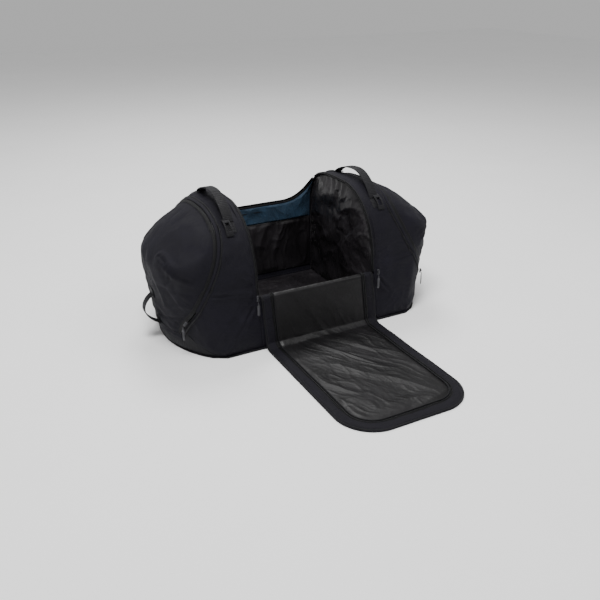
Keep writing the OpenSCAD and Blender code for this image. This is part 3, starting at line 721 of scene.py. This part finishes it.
def add_divider(name, side, seed):
    """A slack D of coated cloth that bellies into the main compartment."""
    turn, share = disc_grid(40)
    edge_y, edge_z = place(turn, 1.0, WALL + 1.4)
    low_z = 8.2
    pull = np.where(edge_z < low_z, (low_z - WAIST) / np.minimum(edge_z - WAIST, -1e-6), 1.0)
    edge_y, edge_z = edge_y * pull, WAIST + (edge_z - WAIST) * pull
    y, z = edge_y * share, WAIST + (edge_z - WAIST) * share
    flat_x = np.full_like(y, HALF_OPEN + 2.0)
    p = np.stack([flat_x, y, z], -1)
    belly = 17 * (1 - share ** 2) ** 0.75 * (0.7 + 0.45 * step(-y, -90, 120)) * (0.6 + 0.4 * step(z, 40, 190))
    fold = (3.0 * crinkle(p, 150, seed + 20) + 1.5 * crinkle(p * [1, 1.6, 0.7], 60, seed + 21)
            + 0.7 * crinkle(p, 30, seed + 22)) * step(1 - share, 0, 0.15)
    gather = 0.9 * np.sin(turn * 27 + 3 * np.sin(turn * 5)) * step(1 - share, 0, 0.05)
    gather *= step(share, 0.72, 0.98)
    p[..., 0] -= belly + fold + gather
    p = relax(p, share > 0.97, 0.02, 7, 0.1)
    back = np.stack([flat_x + 1.6, y, z], -1)
    back[..., 0] -= belly * 0.9
    back[..., 0] = np.maximum(back[..., 0], p[..., 0] + 0.9)
    padded_shell(f"{name}_divider_cloth", side, p, back, [LINING], "bag", "coated_lining", 0.3,
                 f"{name}_divider")


def add_opening_zip(name, side):
    """The main zipper's tape, teeth and bindings along the side of the opening."""
    t = np.linspace(SILL_ANGLE - 3 * TURN, angle_at(330, False), 260)
    y, z = place(t, 1.0, 1.8)
    edge = np.stack([np.full_like(y, OPENING_SEAM), y, z], -1)
    y2, z2 = place(t + 1e-3, 1.0)
    y1, z1 = place(t - 1e-3, 1.0)
    m = unit(np.stack([np.zeros_like(y), -(z1 - z2), (y1 - y2)], -1))
    m *= np.sign((m * (edge - np.array([OPENING_SEAM, 0, WAIST]))).sum(-1, keepdims=True))

    def beside(distance, lift):
        return on_side(edge + np.array([distance, 0, 0]) + m * lift, side), on_side(m, side)

    piece = f"{name}_opening"
    put(sweep(f"{piece}_zip_tape", *beside(0, 0), flat(5.8, 1.2, -1.0), TAPE), "bag", "zipper_tape",
        f"{piece}_tape")
    put(stamps(f"{piece}_teeth", *beside(-1.2, 0), TOOTH, TEETH, lift=0.4), "bag", "zipper_tape")
    put(sweep(f"{piece}_binding", *beside(3.4, 1.2), circle(2.3), TRIM), "bag", "binding")
    put(sweep(f"{piece}_welt", *beside(13.5, 1.6), flat(4.5, 1.6), SHELL), "bag", "shell_cloth")
    put(stamps(f"{piece}_stitches", *beside(9.2, 2.0), STITCH, THREAD, lift=0.2), "bag", "binding")


def ribbed(points, normals, width, thick, label):
    points, normals = resample(points, 0.9, normals)
    rib = np.where(np.arange(len(points)) % 2, 0.12, -0.12)
    return sweep(label, points + normals * rib[:, None], normals, flat(width, thick), WEBBING)


def handle_loop(points, normals, width, thick, label, base, loop_body, node):
    """A loop in three pieces: the middle rides the loop's body, and the two feet are baked in place and ride
    no body.
    """
    cut = len(points) // 6
    middle = ribbed(points[cut:-cut], normals[cut:-cut], width, thick, f"{label}_webbing")
    put(middle, loop_body, "webbing", node)
    for end_name, part, foot, turn_in in (("first", slice(0, cut + 1), 0, cut),
                                          ("last", slice(-cut - 1, None), -1, -cut - 1)):
        twist = ribbed(points[part], normals[part], width, thick, f"{label}_{end_name}_foot")
        put(twist, (base, loop_body, tuple(points[foot] * MM), tuple(points[turn_in] * MM)), "webbing")


HANDLE_SPAN, HANDLE_RISE, ARCH_POWER = 190.0, 27.0, 0.7
END_LOOP_LOW, END_LOOP_SPAN, END_LOOP_RISE = 46.0, 82.0, 32.0
TAB_LIFT, TAB_RISE = 3.2, 5.5


def add_top_handle(name, side):
    """A webbing arch, its sewn-down runs with their stitches, and the slotted tab in front."""
    box_low, box_high = mm_box(f"{name}_top_handle")
    handle_x = (box_low[0] + box_high[0]) / 2
    half_span = HANDLE_SPAN / 2
    v = np.linspace(0, 1, 90)
    y = half_span * (2 * v - 1)
    z = np.array([top_z(k) for k in y]) + 2.4 + HANDLE_RISE * np.sin(math.pi * v) ** ARCH_POWER
    arch = np.stack([np.full_like(y, handle_x) + 1.5 * np.sin(math.pi * v) * side, y, z], -1)
    slope = unit(np.gradient(arch, axis=0))
    m = np.cross(np.array([1.0, 0, 0]), slope)
    m *= np.sign(m[:, 2:3])
    handle_loop(arch, m, 27, 2.4, f"{name}_top", "bag", f"{name}_carry_loop", f"{name}_top_handle")
    grip = (v > 0.3) & (v < 0.7)
    put(sweep(f"{name}_top_grip", arch[grip] + m[grip] * 1.2, m[grip], circle(1.0), TRIM),
        f"{name}_carry_loop", "webbing")
    front_end = math.pi - math.atan2(top_z(-half_span) - WAIST, half_span) - 0.02
    rear_start = math.atan2(top_z(half_span) - WAIST, half_span) + 0.02
    for label, t0, t1 in (("front", angle_at(304, True), front_end),
                          ("rear", rear_start, angle_at(306, False))):
        t = np.linspace(t0, t1, 40)
        a = along_at(t, abs(handle_x))
        q, m = on_side(skin(t, a) + skin_normal(t, a) * 0.7, side), on_side(skin_normal(t, a), side)
        strap = ribbed(q, m, 27, 2.2, f"{name}_{label}_strap")
        put(strap, "bag", "webbing", *([f"{name}_handle_straps"] if label == "front" else []))
        for mark, offset in enumerate((-9.5, 9.5)):
            put(stamps(f"{name}_{label}_strap_stitch_{mark}", q + m * 2.5, m, STRAP_STITCH, THREAD,
                       side_by=offset), "bag", "webbing")
    t = np.linspace(angle_at(297, True), angle_at(329, True), 26)
    a = along_at(t, abs(handle_x) + 8)
    q, m = on_side(skin(t, a), side), on_side(skin_normal(t, a), side)
    tab_side = path_frames(q, m)[1]
    tab = q + m * (TAB_LIFT + TAB_RISE * np.sin(np.linspace(0, math.pi, 26))[:, None] ** 0.8)
    for mark, offset in enumerate((-7.6, 7.6)):
        put(sweep(f"{name}_tab_rail_{mark}", tab + tab_side * offset, m, flat(5.0, 2.0), WEBBING),
            "bag", "webbing")
    for mark, bar in enumerate((slice(0, 7), slice(18, 26))):
        put(sweep(f"{name}_tab_bar_{mark}", tab[bar], m[bar], flat(20, 2.1), WEBBING), "bag", "webbing")


def add_end_handle(name, side):
    """A webbing loop on the end door, with a stitched anchor at each foot."""
    v = np.linspace(0, 1, 70)
    z = END_LOOP_LOW + END_LOOP_SPAN * v
    rise = 2.6 + END_LOOP_RISE * np.sin(math.pi * v) ** ARCH_POWER
    loop = np.stack([side * (end_reach(0 * z, z) + rise), 0 * z, z], -1)
    slope = unit(np.gradient(loop, axis=0))
    m = np.cross(slope, np.array([0, 1.0, 0]))
    m *= np.sign(m[:, :1] * side + 1e-9)
    handle_loop(loop, m, 24, 2.3, f"{name}_end", f"{name}_door", f"{name}_end_loop", f"{name}_end_handle")
    for label, z0, z1 in (("low", 41, 54), ("high", 120, 146)):
        z = np.linspace(z0, z1, 16)
        patch = np.stack([side * (end_reach(0 * z, z) + 3.6), 0 * z, z], -1)
        m = np.broadcast_to(np.array([side, 0, 0.1]), patch.shape)
        put(ribbed(patch, m, 25, 1.6, f"{name}_{label}_anchor"), f"{name}_door", "webbing")
        put(stamps(f"{name}_{label}_anchor_stitches", patch + m * 2.0, m, ANCHOR_STITCH, THREAD, side_by=8),
            f"{name}_door", "webbing")


for side, name, seed in ((-1, "left", 10), (1, "right", 40)):
    add_section(name, side, seed)
    add_heel(name, side, seed)
    add_door(name, side, seed)
    add_end_zip(name, side)
    add_hinge_strip(name, side, seed)
    add_divider(name, side, seed)
    add_opening_zip(name, side)
    add_top_handle(name, side)
    add_end_handle(name, side)


# ---------------------------------------------------------------- walls and floor of the main compartment

def middle_grid(x, low, high, rows, g):
    """Rows run from the low angles to the high ones, over columns at x."""
    k = np.linspace(0, 1, rows)[:, None]
    t = low[None] + (high - low)[None] * k
    y, z = place(t, 1.0, g)
    return np.stack([np.broadcast_to(x, y.shape), y, np.maximum(z, CLOTH_BASE)], -1)


RIM, RIM_RISE, BAND = 250.0, 80.0, 58.0
RIM_LOW, RIM_HIGH = angle_at(RIM, False), angle_at(RIM + RIM_RISE, False)


def rim_angle(x):
    q = np.clip((np.abs(x) - 78) / (HALF_OPEN - 78), 0, 1)
    return RIM_LOW + (RIM_HIGH - RIM_LOW) * (1 - np.sqrt(1 - q * q))


def wall_grid(half, low, high, rows, cols, g, side_fade, end_fade):
    """Columns, points and outward normals across the middle, and a hold that fades out at the edges."""
    x = np.linspace(-half, half, cols)
    p = middle_grid(x, low(x), high(x), rows, g)
    n = grid_normals(p, p * np.array([0.0, 1, 1]) - np.array([0, 0, WAIST]))
    u = (x + half) / (2 * half)
    rise = np.linspace(0, 1, rows)[:, None]
    hold = step(np.minimum(u, 1 - u), 0, side_fade)[None] * step(np.minimum(rise, 1 - rise), 0, end_fade)
    return x, p, n, hold


def even(angle):
    return lambda x: np.full_like(x, angle)


def add_wall(name, low, high, rows, cols, bumps, fill, node):
    x, p, n, hold = wall_grid(HALF_OPEN - 0.4, low, high, rows, cols, 0, 0.06, 0.10)
    outer = p + n * (bumps(p) * hold)[..., None]
    outer[..., 2] = np.maximum(outer[..., 2], CLOTH_BASE)
    inner = middle_grid(x, low(x), high(x), rows, WALL)
    padded_shell(name, 1, outer, inner, [SHELL], "bag", "shell_cloth", fill, node)


def add_lining(name, low, high, rows, cols, height, material, slot, seed, node):
    """Lining inside a wall, slack and creased towards the compartment."""
    _, p, n, hold = wall_grid(LINING_HALF, low, high, rows, cols, WALL + 0.4, 0.05, 0.08)
    drape = p * [1, 1, 0.6]
    slack = 0.6 * crinkle(drape, 130, seed) + 0.25 * crinkle(drape, 55, seed + 1)
    slack = height * (slack + 0.2 * ripple(p, 110, seed + 2))
    front = p - n * (1.2 + np.maximum(0, slack) * hold)[..., None]
    front[..., 2] = np.maximum(front[..., 2], 7.8)
    made = put(shell(name, front, p, [material]), "bag", slot, node)


add_wall("front_wall_shell", even(SILL_ANGLE), even(FRONT_FOOT), 40, 80,
         lambda p: 0.5 * ripple(p, 70, 3), 0.4, "front_wall")
add_wall("rear_wall_shell", even(REAR_FOOT), rim_angle, 100, 120,
         lambda p: 2.6 + 1.6 * ripple(p, 130, 5) + 0.7 * ripple(p, 45, 6) + 1.5 * crinkle(p, 80, 7),
         0.5, "rear_wall")
FOLD_ANGLE = angle_at(RIM - BAND, False)
LINING_HALF = 175
add_lining("rear_lining_sheet", even(REAR_FOOT + 4 * TURN), even(FOLD_ANGLE),
           80, 130, 7, LINING, "coated_lining", 60, "rear_lining")
add_lining("front_lining_sheet", even(FRONT_FOOT - 4 * TURN), even(SILL_ANGLE + TURN),
           40, 100, 4, LINING, "coated_lining", 70, "front_lining")
add_lining("rim_band_sheet", even(FOLD_ANGLE + 0.3 * TURN), lambda x: rim_angle(x) - 0.5 * TURN,
           50, 150, 7, BLUE, "blue_lining", 80, "rim_lining")


def add_rear_rim():
    """Bindings and zipper along the rear rim."""
    x = np.linspace(-HALF_OPEN + 2, HALF_OPEN - 2, 200)
    t = rim_angle(x)
    up = np.stack([0 * x, 0 * x + 0.3, 0 * x + 1], -1)
    out = unit(np.stack([0 * x, np.cos(t), np.sin(t)], -1))

    def rim_line(degrees, g, reach=1.0):
        y, z = place(t + degrees * TURN, 1.0, g)
        return np.stack([x * reach, y, z], -1)

    put(sweep("rear_rim_binding", rim_line(0, 2.0), up, circle(3.1, 12), TRIM), "bag", "binding")
    put(sweep("rear_facing_binding", rim_line(-4.5, 6.4, 0.985), up, circle(1.5, 8), TRIM), "bag", "binding")
    tape_line = rim_line(1.3, 2.6, 0.975)
    put(sweep("rear_zip_tape", tape_line, out, flat(9, 1.2), TAPE), "bag", "zipper_tape", "rear_opening_tape")
    teeth_line = tape_line + np.array([0, -0.5, 3.0])
    put(stamps("rear_zip_teeth", teeth_line, out, TOOTH, TEETH, lift=0.6), "bag", "zipper_tape")
    put(stamps("rear_rim_stitches", rim_line(-2.6, -1.2), out, STITCH, THREAD), "bag", "binding")


def add_floor_sheet():
    """The floor lining: a slack, creased sheet over the board, with the board's outline."""
    low, high = mm_box("floor_lining")
    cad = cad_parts["floor_lining"]
    corners = np.array([v.co for v in cad.data.vertices], float) / MM
    order = np.argsort(np.arctan2(corners[:, 1], corners[:, 0]))
    outline_2d = np.append(corners[order, :2], corners[order[:1], :2], axis=0)
    outline_2d = np.concatenate([a + (b - a) * np.linspace(0, 1, 12)[:, None] for a, b in
                                 zip(outline_2d[:-1], outline_2d[1:])])
    outline_turn = np.arctan2(outline_2d[:, 1], outline_2d[:, 0])
    sort = np.argsort(outline_turn)
    outline_out = np.hypot(outline_2d[:, 0], outline_2d[:, 1])[sort]

    def reach_at(a):
        """How far the floor lining reaches from the middle, in a direction."""
        return np.interp(a, outline_turn[sort], outline_out, period=2 * math.pi)

    half = 64
    i, j = np.meshgrid(np.arange(-half, half + 1), np.arange(-half, half + 1), indexing="ij")
    ring = np.maximum(np.abs(i), np.abs(j))
    turn = np.arctan2(j, i)
    share = ring / half
    out = reach_at(turn) * share
    p = np.stack([np.cos(turn) * out, np.sin(turn) * out, 0 * share + low[2]], -1)
    hold = step(1 - share, 0, 0.05)
    slack = 2.4 * crinkle(p, 120, 90) + 1.3 * crinkle(p, 50, 91) + 0.5 * ripple(p, 60, 92)
    slack = np.maximum(0, slack) * hold
    sheet_top = p + np.stack([0 * slack, 0 * slack, 1.2 + slack], -1)
    floor_sheet = shell("floor_sheet", sheet_top, p, [LINING])
    put(floor_sheet, "bag", "coated_lining", "floor_lining")


def add_inner_tab():
    """The small webbing tab beside the right divider."""
    low, high = mm_box("inner_tab")
    middle = (low + high) / 2
    v = np.linspace(-1, 1, 30)
    line = np.stack([middle[0] - 13 * v, middle[1] + 31 * v, low[2] + 3.2 + 5 * np.cos(v * 1.5)], -1)
    up = np.broadcast_to(np.array([0.2, 0.1, 1.0]), line.shape)
    put(sweep("inner_webbing_tab", line, up, flat(11, 1.5), GREY), "bag", "grey_webbing", "inner_tab")


add_rear_rim()
add_floor_sheet()
add_inner_tab()
for node, material in (("base_panel", BASE), ("base_board", BOARD)):
    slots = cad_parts[node].data.materials
    slots.clear()
    slots.append(material)


# ---------------------------------------------------------------- the lid

LID_HALF = mm_box("lid_mid_fabric")[1][0]
TIP_END = mm_box("lid_tip_fabric")[0][1]
LINE_CORNER = 95.0
BORDER_WIDE = 33.0
lean = math.atan2(HALF_DEPTH - FRONT, WAIST)
wall_y = float(place(SILL_ANGLE, 1.0)[0])


def hang_point(depth, out):
    """A place on the hanging panel: a depth below the sill, and a distance out from the wall."""
    return (wall_y - out * math.cos(lean) - depth * math.sin(lean),
            sill + out * math.sin(lean) - depth * math.cos(lean))


# The lid's line from inside the sill, over it, down the wall and out along the ground, with cut corners
route = [(wall_y + 7.2, sill - 22), (wall_y + 6.9, sill - 8), (wall_y + 6.6, sill + 1),
         (wall_y + 5.2, sill + 4.6), (wall_y + 2.0, sill + 6.2), (wall_y - 1.2, sill + 4.4),
         hang_point(3, 1.6), hang_point(14, 1.6), hang_point(70, 1.8), hang_point(116, 1.8),
         hang_point(123, 2.6), (-219, 1.2), (-226, 0.1), (-240, 0.0), (-400, 0.0), (TIP_END, 0.0)]
route = np.array(route, float)
for _ in range(3):
    a, b = route[:-1], route[1:]
    cut = np.stack([0.75 * a + 0.25 * b, 0.25 * a + 0.75 * b], 1).reshape(-1, 2)
    route = np.concatenate([route[:1], cut, route[-1:]])
route_3d = np.stack([0 * route[:, 0], route[:, 0], route[:, 1]], -1)
(route_3d,) = resample(route_3d, 1.0)
route_run = np.concatenate([[0], np.cumsum(np.linalg.norm(np.diff(route_3d, axis=0), axis=1))])
ahead = unit(np.gradient(route_3d, axis=0))
route_up = np.stack([0 * ahead[:, 0], ahead[:, 2], -ahead[:, 1]], -1)
for _ in range(4):
    route_up[1:-1] = unit(route_up[:-2] + 2 * route_up[1:-1] + route_up[2:])


def run_at(y):
    """Distance along the lid at a place on the ground."""
    return route_run[-1] - (y - TIP_END)


def lid_at(x, s, lift):
    p, n = (np.stack([np.interp(s, route_run, column) for column in q.T], -1) for q in (route_3d, route_up))
    n = unit(n)
    p = p + n * np.asarray(lift)[..., None]
    p[..., 0] = x
    return p, n


def lid_half_at(s, inset=0.0):
    """Half the lid's width, drawn in by an inset, with the far corners rounded."""
    r = LINE_CORNER - inset
    short = np.clip(r - (route_run[-1] - inset - s), 0, r)
    return LID_HALF - inset - r + np.sqrt(np.maximum(0, r * r - short * short))


def lid_rows(start, stop, inset=0.0):
    end = min(stop, route_run[-1] - inset)
    r = LINE_CORNER - inset
    turn_from = route_run[-1] - inset - r
    straight = np.arange(start, min(end, turn_from), 3.0)
    if end <= turn_from + 1e-6:
        return np.append(straight, end)
    first = math.asin(min(1.0, max(0.0, start - turn_from) / r))
    last = math.asin(min(1.0, (end - turn_from) / r))
    rounded = turn_from + r * np.sin(np.linspace(first, last, 44))
    return np.concatenate([straight[straight < turn_from - 0.5], rounded])


def lid_line(start, stop, inset, side):
    """The line at an inset down one side of the lid, and across its end on the last strip."""
    s = lid_rows(start, stop, inset)
    x = side * lid_half_at(s, inset)
    if stop >= route_run[-1]:
        across = np.linspace(x[-1], 0, 40)[1:]
        s, x = np.append(s, np.full(39, s[-1])), np.append(x, across)
    return x, s


def edge_gap(x, s):
    """How far in from the lid's outer edge a place is."""
    r = LINE_CORNER
    cx, cs = LID_HALF - r, route_run[-1] - r
    corner = (np.abs(x) > cx) & (s > cs)
    round_gap = r - np.hypot(np.abs(x) - cx, s - cs)
    return np.where(corner, round_gap, np.minimum(LID_HALF - np.abs(x), route_run[-1] - s))


CREST = float(route_run[np.argmax(route_3d[:, 2])])
HANG_MID = CREST + 62
MID_NEAR, MID_MID, MID_FAR = (run_at(y) for y in (-283, -422, -536))
STRIPS = [
    ("sill", "bag", "lid_hang_panel", 0.0, HANG_MID, (wall_y + 4, sill + 6), (wall_y - 8, sill + 6), "hang"),
    ("foot", "lid_hang_panel", "lid_near_panel", HANG_MID, MID_NEAR, (-204, 42), (-262, 4), "near"),
    ("near", "lid_near_panel", "lid_mid_panel", MID_NEAR, MID_MID, (-316, 4), (-380, 4), "mid"),
    ("mid", "lid_mid_panel", "lid_far_panel", MID_MID, MID_FAR, (-468, 4), (-526, 4), "far"),
    ("tip", "lid_far_panel", "lid_tip_panel", MID_FAR, route_run[-1], (-548, 4), (-604, 4), "tip"),
]
ground_from = run_at(-262)


def lid_wave(x, s):
    """Broad, gentle waves of the whole lid, which never go below the ground."""
    p = np.stack([x, s, 0 * s], -1)
    return 1.1 * (1 + ripple(p, 190, 120)) * step(s, ground_from, ground_from + 60) * 0.6


def mat_surface(s, v):
    """The glossy inside of the lid, with long slack creases; its shading runs on past a strip's ends."""
    wide = np.concatenate([[s[0] - 1.5], s, [s[-1] + 1.5]])
    half = np.concatenate([[lid_half_at(s[:1], BORDER_WIDE)[0]], lid_half_at(s, BORDER_WIDE),
                           [lid_half_at(s[-1:], BORDER_WIDE)[0]]])
    ss = np.broadcast_to(wide[:, None], (len(wide), len(v)))
    xx = half[:, None] * v
    flatp = np.stack([0.75 * xx - 0.55 * ss, 0.45 * (0.75 * ss + 0.55 * xx), 0 * ss], -1)
    gap = edge_gap(xx, ss) - BORDER_WIDE
    slack = 2.4 * crinkle(flatp, 95, 140) + 0.8 * crinkle(flatp, 40, 141) + 0.3 * crinkle(flatp, 20, 142)
    slack += 1.6 * (1 + ripple(flatp, 90, 143)) * 0.5
    slack *= step(gap, 0, 16) * (1 - 0.55 * step(ss, ground_from - 60, ground_from - 100))
    lift = lid_wave(xx, ss)
    top, up = lid_at(xx, ss, 4.4 + lift + slack)
    return top[1:-1], grid_normals(top, up)[1:-1], lift[1:-1]


def add_strip(label, near_body, far_body, start, stop, bend_from, bend_to, node):
    """One strip of the lid, with everything sewn to it; its pieces are baked in place and ride no body."""
    bend = near_body, far_body, *((0, y * MM, z * MM) for y, z in (bend_from, bend_to))
    s = lid_rows(start, stop)
    v = np.sin(np.linspace(-1, 1, 111) * math.pi / 2 * 0.94) / math.sin(math.pi / 2 * 0.94)
    ss = np.broadcast_to(s[:, None], (len(s), len(v)))
    xx = lid_half_at(s)[:, None] * v
    gap = edge_gap(xx, ss)
    pad = 3.4 * np.sin(math.pi * np.clip(gap / BORDER_WIDE, 0, 1)) ** 0.7
    flatp = np.stack([xx, ss, 0 * ss], -1)
    pad *= 1 + 0.22 * ripple(flatp, 55, 130)
    base_lift = lid_wave(xx, ss)
    top, _ = lid_at(xx, ss, 2.7 + pad + base_lift)
    under, _ = lid_at(xx, ss, np.maximum(0, base_lift - 1.0) * step(gap, 0, 14))
    fabric = padded_shell(f"lid_{label}_shell", 1, top, under, [BORDER, SHELL], bend, "shell_cloth", 0.4,
                          f"lid_{node}_fabric")

    # The glossy inside, with long slack creases
    s = lid_rows(start, stop, BORDER_WIDE)
    v = np.linspace(-1, 1, 150)
    top, normals, lift = mat_surface(s, v)
    ss = np.broadcast_to(s[:, None], lift.shape)
    under, _ = lid_at(lid_half_at(s, BORDER_WIDE)[:, None] * v, ss, 3.3 + lift)
    inside = shell(f"lid_{label}_sheet", top, under, [MAT], normals)
    put(inside, bend, "coated_lining", f"lid_{node}_lining")

    # Zipper tape, teeth, cord and edge binding round the border
    for side, tag in ((-1, "left"), (1, "right")):
        def edge(inset, lift):
            x, s = lid_line(start, stop, inset, side)
            return lid_at(x, s, lift + lid_wave(x, s))

        piece = f"lid_{label}_{tag}"
        chain = BORDER_WIDE - 3.5
        tape = sweep(f"{piece}_tape", *edge(chain, 4.0), flat(8.5, 1.3), TAPE)
        put(tape, bend, "zipper_tape", *([f"lid_{node}_tape"] if side < 0 else []))
        put(stamps(f"{piece}_teeth", *edge(chain, 6.1), LID_TOOTH, TEETH), bend, "zipper_tape")
        put(sweep(f"{piece}_cord", *edge(BORDER_WIDE + 2.5, 6.0), circle(2.1, 8), TRIM), bend, "binding")
        put(sweep(f"{piece}_binding", *edge(2.8, 2.6), circle(2.4, 8), TRIM), bend, "binding")
        put(stamps(f"{piece}_stitches", *edge(6.4, 5.4), LID_STITCH, THREAD), bend, "shell_cloth")


for strip in STRIPS:
    add_strip(*strip)

# The seam where the lid's cloth is sewn to the sill
x = np.linspace(-LID_HALF, LID_HALF, 60)
line = np.stack([x, np.full(60, wall_y + 2.2), np.full(60, sill + 2.6)], -1)
up = np.broadcast_to(np.array([0.0, 0, 1]), line.shape)
put(sweep("sill_roll", line, up, circle(2.2), TRIM), "bag", "binding", "sill_binding")


# ---------------------------------------------------------------- sliders and pulls

def rounded_bar(name, centre, along, out, length, width, thick, material, waist=1.0):
    """A short moulded bar with rounded ends, narrower in the middle where waist is under 1."""
    v = np.linspace(-1, 1, 25)
    p = centre + along * (v * length / 2)[:, None]
    size = np.clip(np.sqrt(np.maximum(0, 1 - np.abs(v) ** 6)), 0.25, 1) * (1 - (1 - waist) * (1 - v * v) ** 2)
    section = [(x * width / 2, y * thick / 2) for x, y in
               ((-1, -0.4), (-0.8, -1), (0.8, -1), (1, -0.4), (1, 0.4), (0.8, 1), (-0.8, 1), (-1, 0.4))]
    return sweep(name, p, np.broadcast_to(out, p.shape), section, material, scale=size)


def add_slider(name, side, kind):
    """A slider body with its bridge, and a pull with grip ribs and a link."""
    low, high = mm_box(f"{name}_{kind}_slider")
    middle = (low + high) / 2
    turn, tilt = (0.0, 0.0) if kind == "main" else (55 * TURN, 36 * TURN)
    out = np.array([side * math.sin(turn), -math.cos(turn), 0.0])
    across = np.array([math.cos(turn) * side, math.sin(turn), 0.0])
    up = unit(np.array([0, 0, 1.0]) * math.cos(tilt) - across * math.sin(tilt))
    piece = f"{name}_{kind}"
    slider = rounded_bar(f"{piece}_slider_body", middle + out * -0.6, up, out, 17, 9.2, 4.4, METAL, 0.72)
    put(slider, f"{piece}_runner", "slider_metal", f"{piece}_slider")
    bridge = rounded_bar(f"{piece}_slider_bridge", middle + out * 2.6, up, out, 10, 3.0, 2.4, METAL)
    put(bridge, f"{piece}_runner", "slider_metal")
    low, high = mm_box(f"{name}_{kind}_pull")
    middle = (low + high) / 2
    down = np.array([0.0, 0, -1.0])
    grip = rounded_bar(f"{piece}_pull_grip", middle + down * 2.5, down, out, 32, 8.4, 2.6, RUBBER, 0.82)
    put(grip, f"{piece}_tag", "pull_tag", f"{piece}_pull")
    for rib in range(5):
        place_of_rib = middle + down * (-4 + 3.6 * rib) + out * 1.3
        put(rounded_bar(f"{piece}_pull_rib_{rib}", place_of_rib, across, out, 6.4, 1.1, 0.9, RUBBER),
            f"{piece}_tag", "pull_tag")
    link = rounded_bar(f"{piece}_pull_link", middle - down * 16, down, out, 9, 3.6, 1.8, METAL)
    put(link, f"{piece}_tag", "slider_metal")


for name, side in (("left", -1), ("right", 1)):
    for kind in ("main", "end"):
        add_slider(name, side, kind)


# ---------------------------------------------------------------- floor

def add_floor():
    bpy.ops.mesh.primitive_plane_add(size=14, location=(0, 0, -0.0004))
    floor = bpy.context.object
    floor.name = "floor"
    material, tree, shader, coords = new_material("floor_paint")
    tone = add_ramp(tree, add_noise(tree, coords, 3), [(0.3, (0.93, 0.93, 0.93)), (0.7, (0.95, 0.95, 0.95))])
    tree.links.new(tone, shader.inputs["Base Color"])
    shader.inputs["Roughness"].default_value = 0.8
    floor.data.materials.append(material)


add_floor()
